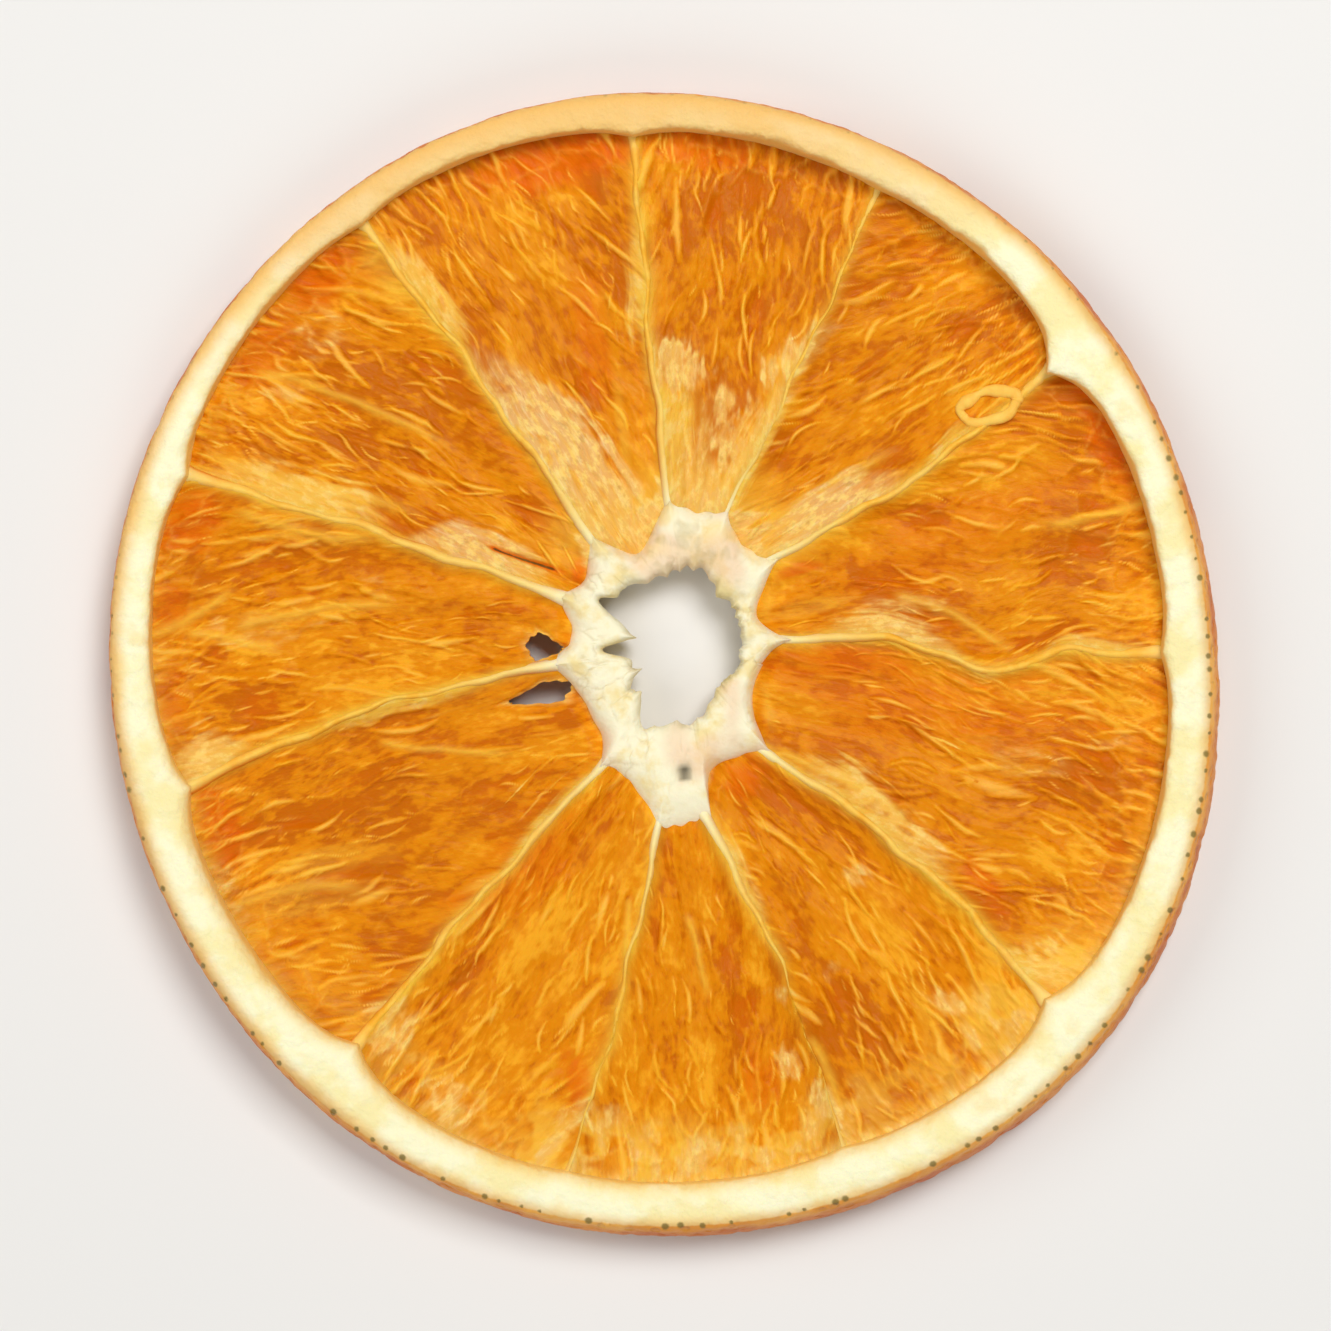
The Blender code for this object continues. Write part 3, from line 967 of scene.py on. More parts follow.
@dataclass(frozen=True)
class PulpFinish:
    """Dried pulp: amber juice sacs between lighter skins, with pale films beside the walls."""

    # deep and brown: the pulp's deep orange and brown spots, and painted shade in sunk sacs, in the film's
    # slit, on the tears' walls and where the rind and a crest cast shadow.
    deep_and_shade: Colour = colour(230, 100, 2)
    brown: Colour = colour(104, 72, 26)
    dark: Colour = colour(202, 106, 2)
    middle: Colour = colour(228, 138, 6)
    light: Colour = colour(246, 170, 34)
    skin: Colour = colour(253, 190, 74)
    gold: Colour = colour(248, 194, 66)
    cream: Colour = colour(250, 214, 124)
    white: Colour = colour(255, 236, 178)
    blush: Colour = colour(232, 176, 108)
    grey: Colour = colour(198, 146, 86)
    roughness: float = 0.36

    def make(self) -> bpy.types.Material:
        """Mix the pulp's colours.

        The mesh's numbers say where its sacs are dark or light, partly as painted shade and
        painted highlight that follow the strands, where their pale skins show, partly as painted
        highlight on the strands' crests, and where film, gold and deep orange lie, the deep orange
        and brown partly as painted shade. Noise stretched along the sacs breaks them up.

        Returns:
            The material.
        """
        bench = Bench("pulp_finish")
        fibre = bench.noise(bench.chart(3.0, 0.55), 1.0, 4.0)
        thread = bench.noise(bench.chart(6.0, 1.5), 1.0)
        grain = bench.noise(bench.chart(2.0, 1.2), 1.6)
        mottle = bench.noise(bench.chart(1.1, 0.7), 1.3, 4.0, 0.65)
        flecks = bench.noise(bench.chart(1.4, 0.9), 1.1)
        tone = bench.value("tone") + (fibre - 0.5) * 0.5 + (thread - 0.5) * 0.2 + (grain - 0.5) * 0.5
        deep_and_shade = bench.value("deep_and_shade") * (0.55 + grain * 0.7)
        # line: the sacs' and strands' pale skin, on the strands' crests partly a painted highlight.
        line = bench.value("line") * (0.6 + fibre * 0.8)
        gold = bench.value("gold") * (0.7 + fibre * 0.5)
        cover = (bench.value("film") * (0.6 + fibre * 0.8)).step(0.02, 0.9)
        pale = bench.coats(
            self.blush,
            (mottle.step(0.44, 0.6), self.cream),
            (flecks.step(0.54, 0.68) * 0.6, self.grey),
            (fibre.step(0.52, 0.7) * 0.45, self.white),
            ((1.0 - fibre.step(0.32, 0.5)) * 0.4, self.gold),
        )
        film = bench.coats(
            self.light,
            (fibre.step(0.26, 0.44), self.gold),
            (mottle.step(0.46, 0.62) * 0.6, self.cream),
            (bench.value("pale"), pale),
        )
        flesh = bench.coats(
            self.dark,
            (tone.step(0.1, 0.5), self.middle),
            (tone.step(0.5, 0.95), self.light),
            (deep_and_shade.at_most(1.0), self.deep_and_shade),
            (deep_and_shade.step(0.82, 1.12), self.brown),
            (line.step(0.0, 1.1) * 0.85, self.skin),
            (gold.at_most(1.0), self.gold),
            (cover * 0.93, film),
        )
        return bench.finish((0.3, (1.0, 0.4, 0.08), 0.0008), {
            "Base Color": flesh,
            "Roughness": self.roughness + (grain - 0.5) * 0.3,
            "Specular IOR Level": 0.07,
            "Normal": bench.bump(fibre * 0.5 + thread * 0.2 + grain * 0.4, 0.0002, 0.7),
        })


@dataclass(frozen=True)
class WallFinish:
    """The walls' crests: dry skin, golden in the pulp and cream at its ends, with amber painted shade on
    their flanks.
    """

    gold: Colour = colour(250, 178, 48)
    cream: Colour = colour(253, 220, 130)
    light: Colour = colour(254, 198, 78)
    white: Colour = colour(255, 248, 216)
    # amber: painted shade on the walls' flanks.
    amber: Colour = colour(236, 138, 20)
    roughness: float = 0.5

    def make(self) -> bpy.types.Material:
        """Mix the walls' colours, which the mesh's numbers lay over one another.

        Returns:
            The material.
        """
        bench = Bench("wall_finish")
        cloud = bench.noise(bench.place(), 900.0)
        skin = bench.coats(
            self.gold,
            (cloud.step(0.35, 0.65), self.light),
            (bench.value("pale"), self.cream),
            (bench.value("shaded_flank"), self.amber),
            (bench.value("white"), self.white),
        )
        return bench.finish((0.25, (1.0, 0.6, 0.25), 0.0006), {
            "Base Color": skin,
            "Roughness": self.roughness,
            "Specular IOR Level": 0.15,
            "Normal": bench.bump(cloud, 0.00006, 0.6),
        })


@dataclass(frozen=True)
class RindFinish:
    """Rind: cream pith on the cut faces and a thin, pitted orange skin round the outside."""

    cream: Colour = colour(251, 236, 174)
    white: Colour = colour(255, 249, 208)
    straw: Colour = colour(248, 206, 112)
    tan: Colour = colour(244, 200, 122)
    rim: Colour = colour(244, 190, 104)
    zest: Colour = colour(250, 182, 84)
    amber: Colour = colour(238, 156, 58)
    orange: Colour = colour(240, 148, 40)
    brown: Colour = colour(214, 106, 22)
    pore: Colour = colour(118, 104, 42)
    roughness: float = 0.62
    skin_shine: float = 0.18

    def make(self) -> bpy.types.Material:
        """Mix the rind's colours.

        The skin is where the depth in from the outside is less than the skin's thickness there,
        tan where it is cut and orange outside. Oil glands are dark dots along its cut edge and
        dimples over its outer wall.

        Returns:
            The material.
        """
        bench = Bench("rind_finish")
        place = bench.place()
        cloud = bench.noise(place, 260.0, 4.0, 0.55)
        fine = bench.noise(place, 1500.0)
        pores = 1.0 - bench.cells(place, 1150.0).step(0.16, 0.4)
        depth = bench.value("depth")
        rim = depth + (cloud - 0.5) * 0.5 + (fine - 0.5) * 0.2
        inside = depth - bench.value("skin") + (fine - 0.5) * 0.22 + (cloud - 0.5) * 0.1
        dots = (bench.value("dots") * (0.6 + fine * 0.8)).step(0.3, 0.75)
        pith = bench.coats(
            self.cream,
            (cloud.step(0.38, 0.56), self.white),
            (cloud.step(0.6, 0.72) * 0.35, self.straw),
            ((bench.value("tan") * (0.55 + cloud * 0.8)).at_most(1.0), self.tan),
            (bench.value("edge") * (0.3 + fine * 0.7), self.straw),
            (bench.value("inner"), self.straw),
        )
        outside = bench.coats(
            self.brown,
            (cloud.step(0.35, 0.65), self.orange),
            (pores * 0.4, self.brown),
        )
        shade = bench.coats(
            outside,
            (depth.step(0.04, 0.3), bench.coats(self.amber, (cloud.step(0.38, 0.62), self.zest))),
            (inside.step(-0.06, 0.05), bench.coats(self.rim, (rim.step(0.2, 1.5), pith))),
            (dots * 0.8, self.pore),
        )
        pitted = pores * (1.0 - inside.step(-0.1, 0.1)) * 0.5
        return bench.finish((0.2, (1.0, 0.7, 0.35), 0.0008), {
            "Base Color": shade,
            "Roughness": self.roughness - (1.0 - inside.step(-0.06, 0.05)) * self.skin_shine,
            "Specular IOR Level": 0.2,
            "Normal": bench.bump(cloud * 0.5 + fine * 0.7 - pitted, 0.0003, 0.8),
        })


@dataclass(frozen=True)
class PithFinish:
    """The core's pith: white and spongy, with a faint blush, grey mottles, and grey painted shade in its
    cracks and hollows.
    """

    white: Colour = colour(252, 243, 208)
    cream: Colour = colour(245, 224, 160)
    blush: Colour = colour(240, 198, 160)
    # hollow: grey mottles, and painted shade in cracks and hollows.
    hollow: Colour = colour(188, 168, 108)
    gold: Colour = colour(255, 214, 116)
    # pit: painted shade, nearly black, inside the small pit.
    pit: Colour = colour(62, 50, 22)
    roughness: float = 0.75

    def make(self) -> bpy.types.Material:
        """Mix the pith's colours, with noise where the mesh's numbers say rim or hollow.

        The hollow grey is partly painted shade, and the pit's near-black is painted shade.

        Returns:
            The material.
        """
        bench = Bench("pith_finish")
        place = bench.place()
        cloud = bench.noise(place, 420.0, 4.0)
        tint = bench.noise(place, 230.0, 2.0, 0.5)
        fine = bench.noise(place, 2600.0)
        shade = bench.coats(
            self.cream,
            (cloud.step(0.36, 0.54), self.white),
            (tint.step(0.5, 0.66) * 0.55, self.blush),
            (bench.value("rim") * (0.3 + cloud * 0.9), self.gold),
            (bench.value("hollow") * (0.4 + fine * 0.9), self.hollow),
            (bench.value("pit"), self.pit),
        )
        return bench.finish((0.25, (1.0, 0.8, 0.55), 0.0008), {
            "Base Color": shade,
            "Roughness": self.roughness,
            "Normal": bench.bump(fine * 0.6 + cloud * 0.4, 0.00015, 0.7),
        })


@dataclass
class Skins:
    """What lies on one field of pulp: an array over the field's grid for each thing."""

    strand: Array  # height of the dried strands
    # line below: pale crests, partly painted highlight.
    line: Array  # how strongly their pale crests show
    shine: Array  # their tone
    skin: Array  # nearness to a sac's skin, where that is raised
    sunk: Array  # how far a sac has sunk
    tone: Array  # the sacs' tone
    film: Array  # how much film covers the pulp
    pale: Array  # how pale it is
    hang: Array  # how far it hangs from its wall
    folds: Array  # nearness to a crease
    fold_rise: Array
    slit: Array  # nearness to the slit in the film
    swell: Array
    speckle: Array


@dataclass
class PulpField:
    """One field of pulp between two walls: a slab of juice sacs, open at its tears."""

    plan: SlicePlan
    number: int
    cell: float = 0.12
    rows: int = 215
    tuck: float = 0.018  # share of the field's length that is tucked under core and rind
    layers: tuple = (  # see strands
        (1.30, 2.8, 0.24, 0.15, 0.60, 0.40),
        (0.85, 1.7, 0.15, 0.22, 0.66, 0.50),
        (0.50, 0.9, 0.08, 0.15, 0.45, 0.55),
    )
    sac_width: float = 1.0
    sac_widens: float = 0.8
    sac_length: float = 6.5
    skin_width: float = 0.16
    skin_rise: float = 0.07
    strand_base: float = 0.06
    swell: float = 0.13
    speckle: float = 0.018
    hollow: float = 0.14
    less_ridge: float = 0.45
    beside_wall: float = 0.7  # how far a wall's form reaches into the pulp
    core_dip: float = 0.4
    rind_swell: float = 0.3
    film_rise: float = 0.10
    drape: float = 0.22
    slit: Fold = Fold((-10.6, 7.0), (-5.6, 5.3), -0.1, 0.17, -0.22)
    thinned: float = 0.3
    noise: Chance = field(init=False)
    other: Chance = field(init=False)
    share: Array = field(init=False)
    along: Array = field(init=False)
    places: Array = field(init=False)
    width: Array = field(init=False)
    length: float = field(init=False)
    run: Array = field(init=False)
    across: Array = field(init=False)
    wall_gap: Array = field(init=False)
    rind_gap: Array = field(init=False)
    upper: Array = field(init=False)

    def __post_init__(self) -> None:
        """Lay out the grid, and the ways along and across the sacs in millimetres.

        The ways across lean from the field's middle line as the wall before it says.
        """
        plan, number = self.plan, self.number
        self.noise, self.other = Chance(40 + number), Chance(80 + number)
        widest = float(plan.field_width(number, np.array([1.0]))[0])
        share = np.linspace(0.0, 1.0, max(60, int(widest / self.cell)) + 1)
        along = np.linspace(-self.tuck, 1.0 + self.tuck, self.rows + 1)
        self.share, self.along = np.meshgrid(share, along, indexing="ij")
        self.places = plan.place(number, self.share, self.along)
        self.width = plan.field_width(number, self.along)
        self.length = float(np.linalg.norm(self.places[0, -1] - self.places[0, 0]))
        self.run = np.clip(self.along, 0.0, 1.0) * self.length
        self.wall_gap = np.minimum(self.share, 1.0 - self.share) * self.width
        self.rind_gap = self.length - self.run
        at_core, at_rind = np.tan(np.radians(plan.walls[number].lean))
        outer = np.clip((self.along - 0.5) / 0.5, 0.0, 1.0)
        lean = at_core * self.run + 0.25 * (at_rind - at_core) * self.length * outer**2
        straight = 1.0 - 0.3 * (2.0 * self.share - 1.0) ** 2
        self.across = (self.share - 0.5) * self.width - lean * straight

    def rough(self, noise: Chance, wide: float, long: float, shift: float = 0.0, octaves: int = 3) -> Array:
        """Noise so wide and so long, in millimetres, that follows the sacs."""
        return noise.rough(self.across / wide + shift, self.run / long, octaves)

    def ridges(self, width: Array) -> Array:
        """Height of the nearest wall's ridge, a bell across it, where the field has that width."""
        nearest = np.where(self.share > 0.5, *(wall.ridge for wall in self.plan.sides(self.number)[::-1]))
        return nearest * bell(np.minimum(self.share, 1.0 - self.share) * width, self.plan.ridge_spread)

    def solid_heights(self) -> tuple[Array, Array]:
        """Heights of the solid's pulp: the walls' ridges, a sag between them, lumps and a moat.

        Returns:
            The upper face's heights and the lower face's.
        """
        plan, along = self.plan, np.clip(self.along, 0.0, 1.0)
        phase = plan.phases[self.number]
        sag = plan.sag * (plan.sag_at_core + (1.0 - plan.sag_at_core) * along)
        moat = plan.moat_depth * bell(along - plan.moat_place, plan.moat_spread)
        sway = phase + plan.lump_sway * np.sin(2 * np.pi * along + phase)
        form = plan.lump_size * np.cos(2 * np.pi * plan.lumps * self.share + sway)
        form = form - (sag + moat) * np.sin(np.pi * self.share)
        form = form + self.ridges(plan.field_width(self.number, along))
        return plan.pulp_top + plan.levels[self.number] + form, plan.pulp_under - plan.under_share * form

    def strands(self) -> tuple[Array, Array, Array]:
        """Sac skins that have dried to strands along the field, one layer over the other.

        A layer's numbers are the cell's width and length, the rise, how many of the cells have
        a strand near the core and near the rind, and how far strands curl near the rind.

        Returns:
            Their height, how strongly their pale crests show, and their tone.
        """
        height, line, tone = (np.zeros(self.share.shape) for _ in range(3))
        bend = self.rough(self.noise, 3.4, 5.5)
        curl = ease(self.along, 0.6, 1.0) * self.rough(self.noise, 2.0, 2.2, 50)
        patchy = self.noise.rough(self.across / 3.0 + 9, self.run / 4.5 + 60)
        for turn, (across, along, rise, few, many, curls) in enumerate(self.layers):
            x = (self.across + 0.5 * bend + curls * curl) / across + 31 * turn
            y = (self.run + curls * curl) / along + 13 * turn
            amount = few + (many - few) * ease(self.along, 0.15, 0.8) + 0.6 * patchy
            back, crest, own = self.noise.strands(x, y, amount)
            height += rise * back
            line = np.maximum(line, crest * ease(own, 0.35, 0.95))
            tone = np.where(back > 0.15, 0.5 * tone + own - 0.5, tone)
        return height, line, tone

    def sacs(self) -> tuple[Array, Array, Array]:
        """Juice sacs: stretched cells that widen and shorten towards the rind.

        A skin's bell runs over its distance in millimetres, which is the gap between the two
        nearest cells over that gap's slope.

        Returns:
            How near each point is to a sac's skin, how far inside a sac it is, and its tone.
        """
        warp = self.rough(self.other, 3.0, 5.0, 20)
        twist = self.other.rough(self.across / 1.2, self.run / 2.5 + 30)
        outwards = np.clip(self.along, 0.0, 1.0)
        x = self.across / (self.sac_width + self.sac_widens * outwards) + 0.55 * warp + 0.2 * twist
        y = self.run / self.sac_length + 2.4 * outwards**4 + 0.3 * twist
        _, gap, tone = self.other.cells(x, y)
        slope_share, slope_along = np.gradient(gap, self.share[:, 0], self.along[0])
        slope = np.hypot(slope_share / self.width, slope_along / self.length)
        away = np.abs(gap) / np.maximum(slope, 0.08)
        return bell(away, self.skin_width), ease(gap, 0.0, 0.6), tone

    def crest_shows(self, wall: Wall) -> Array:
        """How clearly a wall's crest shows along its length."""
        return wall.clear * (1.0 - 0.85 * ease(self.along, wall.fades - 0.08, wall.fades + 0.12))

    def films(self) -> tuple[Array, Array, Array]:
        """Films beside the walls: streaked strips that thin out to both ends.

        Returns:
            How much film covers each point, how pale it is, and how far it hangs from the wall.
        """
        cover, pale, hang, weight = (np.zeros(self.share.shape) for _ in range(4))
        before, after = self.plan.sides(self.number)
        sides = [(film, self.share) for film in before.films if film.side > 0]
        sides += [(film, 1.0 - self.share) for film in after.films if film.side < 0]
        holes = 0.5 * ease(self.rough(self.noise, 0.7, 1.2, 40), 0.15, 0.6)
        for film, share in sides:
            gap = share * self.width
            streak = self.noise.rough(gap / 0.3 + 80, self.run / 5.5)
            ragged = self.noise.rough(self.run / 2.2, film.width)
            place = (self.along - film.start) / (film.end - film.start)
            taper = ease(place, 0.0, 0.35) * (1.0 - ease(place, 0.6, 1.0) ** 0.7)
            reach = film.width * taper * (1.0 + 0.25 * ragged)
            finger = 1.8 * streak / (film.end - film.start) / self.length
            here = ease(reach - gap + 0.9 * streak * gap / film.width, -0.35, 0.8)
            here = here * ease(reach, 0.02, 0.3) * ease(place + finger, -0.05, 0.5)
            here = here * ease(1.0 - place - finger, -0.05, 0.6)
            pale = pale + film.pale * ease(place, -0.1, 0.55) * here**2
            weight = weight + here**2
            hang = np.maximum(hang, here * np.clip(1.0 - gap / film.width, 0.0, 1.0))
            cover = np.maximum(cover, here * (0.85 + 0.2 * film.pale + 0.15 * streak) * (1.0 - holes))
        return np.clip(cover, 0.0, 1.0), pale / np.maximum(weight, 0.001), hang

    def skins(self) -> Skins:
        """Lay strands, sacs, films and folds on the field.

        Returns:
            How much of each is at each point.
        """
        noise, other = self.noise, self.other
        strand, line, shine = self.strands()
        skin, inside, tone = self.sacs()
        film, pale, hang = self.films()
        wander = 0.22 * other.rough(self.places[..., 0] / 2.4, self.places[..., 1] / 2.4)
        folds = [(fold.cover(self.places, wander), fold.rise) for fold in FOLDS]
        clear = ease(self.rough(other, 3.0, 4.0, 70), -0.2, 0.6)
        clear = np.maximum(clear * 0.6, ease(self.along, 0.72, 0.95))
        return Skins(
            strand=strand,
            line=np.maximum(line, 0.4 * skin * clear),
            shine=shine,
            skin=skin * clear,
            sunk=inside * ease(tone, 0.3, 1.0) * (1.0 - bell(self.wall_gap, self.beside_wall)),
            tone=tone,
            film=film,
            pale=pale,
            hang=hang,
            folds=np.max([cover for cover, _ in folds], axis=0),
            fold_rise=sum(cover * rise for cover, rise in folds),
            slit=self.slit.cover(self.places, wander * 0.3),
            swell=self.rough(noise, 2.2, 5.0, 11),
            speckle=self.rough(noise, 0.5, 0.9),
        )

    def bare(self, skins: Skins) -> Array:
        """How bare the strands lie, where film and folds don't cover them."""
        return (1.0 - (0.45 + 0.35 * skins.pale) * skins.film) * (1.0 - 0.6 * skins.folds)

    def heights(self, skins: Skins) -> tuple[Array, Array]:
        """The solid's heights, with what lies on the pulp on top.

        Strands, sacs and swells fade under films and beside the walls. Half of them shows
        underneath.

        Args:
            skins: What lies on the pulp.

        Returns:
            The upper face's heights and the lower face's.
        """
        near_wall = bell(self.wall_gap, self.beside_wall)
        top, under = self.solid_heights()
        top = top - self.less_ridge * self.ridges(self.width)
        top = top - self.core_dip * (1.0 - ease(self.run, 0.0, 1.0))
        top = top + self.rind_swell * self.plan.golden_side(self.places) * bell(self.rind_gap, 1.3)
        detail = skins.strand - self.strand_base + self.skin_rise * skins.skin - self.hollow * skins.sunk
        detail = detail + self.swell * skins.swell + self.speckle * skins.speckle
        detail = detail * ease(self.run, 0.0, 1.4)
        top = top + detail * self.bare(skins) * (1.0 - 0.5 * near_wall) + skins.fold_rise
        top = top + self.film_rise * skins.film + self.drape * skins.hang * (1.0 - 0.7 * near_wall)
        under = under - 0.5 * detail - 0.08 * self.rough(self.noise, 0.7, 2.6, 31)
        return top + self.slit.rise * skins.slit, under

    def shades(self, skins: Skins) -> dict[str, Array]:
        """The numbers that the finish reads at each point.

        Args:
            skins: What lies on the pulp.

        Returns:
            The numbers, by name.
        """
        noise, other, plan = self.noise, self.other, self.plan
        x, y = self.places[..., 0], self.places[..., 1]
        line, slit, swell = skins.line, skins.slit, skins.swell
        ragged = self.rough(other, 0.7, 2.4, 5) + 0.6 * self.rough(noise, 0.35, 1.5)
        blot = self.rough(noise, 0.8, 1.2, 60)
        marks = {
            tint: np.max([mark.cover(self.places, ragged, SOFTNESS[tint]) for mark in spots], axis=0)
            for tint, spots in MARKS.items()
        }
        # Painted highlight and painted shade: the strands' height, and raised, their height less that of
        # the points beside them, make their tops lighter and the gaps between them darker.
        raised = skins.strand - (np.roll(skins.strand, 3, axis=0) + np.roll(skins.strand, -3, axis=0)) / 2
        # Painted shade: the tone falls by 0.12 towards the top, from y 5 to 20 mm, against the key lamp
        # that lights that side.
        tone = 0.45 - 0.12 * ease(y, 5.0, 20.0) + 0.35 * swell + 0.25 * (0.5 - skins.tone)
        tone = tone + 0.4 * self.rough(other, 4, 6) + 0.35 * skins.shine + 0.5 * skins.strand
        tone = tone + 1.2 * raised + 0.25 * self.rough(other, 0.32, 0.55, octaves=2) + 0.25 * blot

        # Deep orange, and painted shade: sunk sacs of dark tone take the deep colour as shade in their
        # hollows, and the film's slit takes it fully, turning brown, as shade in the slit.
        deep_and_shade = np.maximum(marks[Tint.DEEP_AND_SHADE], 0.4 * skins.sunk * ease(tone, 0.45, 0.1))
        deep_and_shade = np.maximum(deep_and_shade * (1.0 - 0.6 * np.clip(line, 0, 1)), 1.7 * slit)

        before, after = (self.crest_shows(wall) for wall in plan.sides(self.number))
        beside = bell(self.wall_gap, 0.42 + 0.16 * other.rough(self.run / 1.6, self.number))
        above = ease(y, 4.5, 8.5)
        golden = plan.golden_side(self.places) * np.clip(0.8 + 0.5 * ragged, 0.2, 1.0)
        patch = ease(other.rough(x / 1.4, y / 1.4) + 0.25 * ragged, -0.3, 0.2)
        patch = patch * plan.rim_patches(self.places) * (1.0 - ease(self.rind_gap, 2.0, 5.5))
        gilded = 0.38 + 0.35 * ease(marks[Tint.GOLD], 0.95, 1.35) + 0.4 * swell + 0.5 * line
        gold = np.max([
            marks[Tint.GOLD] * gilded,
            beside * np.where(self.share < 0.5, before, after),
            bell(self.rind_gap, 1.1 + 0.5 * noise.rough(self.across / 1.3, 7)) * golden,
            0.6 * skins.folds,
            above * (0.8 + 0.4 * ragged) * (1.0 - ease(self.run, 0.5, 5.5)),
            0.9 * patch,
        ], axis=0)

        whiten = ease(marks[Tint.PALE], 0.95, 1.35)
        streaks = np.clip(0.3 + 0.3 * whiten + line + 0.45 * skins.speckle, 0.0, 0.95)
        fringe = (0.004 + 0.07 * above) * (1.0 + 0.8 * ragged)
        blotch = np.max([
            marks[Tint.PALE] * streaks,
            0.8 * golden * bell(self.rind_gap - 0.2, 0.55 + 0.25 * ragged),
            0.75 * patch * ease(blot + 0.4 * line, -0.2, 0.45),
            ease(fringe - self.along, -0.012, 0.03),
        ], axis=0)
        whiter = 0.6 * np.maximum(ease(blotch - skins.film, -0.3, 0.2), whiten)
        film = np.maximum(skins.film * (1.0 - slit), blotch)
        return {
            "tone": tone,
            "line": line * self.bare(skins),
            "film": film,
            "pale": np.maximum(skins.pale, whiter),
            "gold": np.clip(gold, 0.0, 1.0),
            "deep_and_shade": 0.75 * deep_and_shade * (1.0 - film),
        }

    def build(self) -> bpy.types.Object:
        """Make the field's mesh: its two faces, without the cells that are torn away.

        Returns:
            The piece.
        """
        skins = self.skins()
        self.upper, lower = self.heights(skins)
        values = self.shades(skins)
        places, torn = self.places, np.zeros(self.share.shape)
        present = np.ones((self.share.shape[0] - 1, self.share.shape[1] - 1), dtype=bool)
        for tear in self.plan.tears:
            places, present, torn = self.open_tear(tear, places, present, torn)
        curl, thin = self.plan.curl(places), self.thinned * torn
        sheets = [np.dstack([places, self.upper + curl - thin]), np.dstack([places, lower + curl + thin])]
        points = np.concatenate([sheet.reshape(-1, 3) for sheet in sheets]) + self.plan.shift
        values["film"] = np.maximum(values["film"], 0.5 * torn)
        values["pale"] = np.maximum(values["pale"], 0.6 * torn)
        # Painted shade on the tears' walls: the lower sheet takes the deep colour fully at a torn edge.
        deep_and_shade = values["deep_and_shade"]
        beneath = values | {"film": values["film"] * (1.0 - torn), "deep_and_shade": deep_and_shade + (1.0 - deep_and_shade) * torn}
        faces = slab_faces(present)
        used, renumbered = np.unique(faces, return_inverse=True)
        doubled = {name: np.append(values[name], beneath[name])[used] for name in values}
        chart = np.tile(np.stack([self.across.ravel(), self.run.ravel()], axis=-1), (2, 1))[used]
        name = f"pulp_field_{self.number + 1:02d}"
        return write_mesh(name, points[used], renumbered.reshape(faces.shape), doubled, chart)

    def open_tear(
        self, tear: Tear, places: Array, present: Array, torn: Array
    ) -> tuple[Array, Array, Array]:
        """Take a tear's cells out of the slab and draw the points round it onto its edge.

        Args:
            tear: The tear.
            places: The grid's points, seen from above.
            present: The cells that are still there.
            torn: How near each point is to a torn edge.

        Returns:
            The three arrays, with the tear in them.
        """
        middles = (places[:-1, :-1] + places[1:, 1:] + places[:-1, 1:] + places[1:, :-1]) / 4
        gone = tear.level(middles) < 1.0
        if not gone.any():
            return places, present, torn
        present = present & ~gone
        touches = []
        for cells in (gone, present):
            wide = np.pad(cells, 1)
            touches.append(wide[:-1, :-1] | wide[1:, :-1] | wide[:-1, 1:] | wide[1:, 1:])
        rim = touches[0] & touches[1]
        middle, level = np.array(tear.middle), tear.level(places)
        drawn = middle + (places - middle) / np.maximum(level, 0.3)[..., None]
        torn = np.maximum(torn, bell(np.maximum(level - 1.0, 0.0), 0.35))
        return np.where(rim[..., None], drawn, places), present, torn

    def height_at(self, share: Array, along: Array) -> Array:
        """Height of the finished upper face, worked out between the grid's points.

        Args:
            share: Share of the field's width.
            along: Share of the way from the core to the rind.

        Returns:
            Heights in millimetres.
        """
        columns, rows = self.share.shape
        x = np.clip(share, 0, 1) * (columns - 1)
        y = np.clip((along + self.tuck) / (1 + 2 * self.tuck), 0, 1) * (rows - 1)
        left, low = np.minimum(x.astype(int), columns - 2), np.minimum(y.astype(int), rows - 2)
        x, y = x - left, y - low
        near = self.upper[left, low] * (1 - x) + self.upper[left + 1, low] * x
        far = self.upper[left, low + 1] * (1 - x) + self.upper[left + 1, low + 1] * x
        return near * (1 - y) + far * y


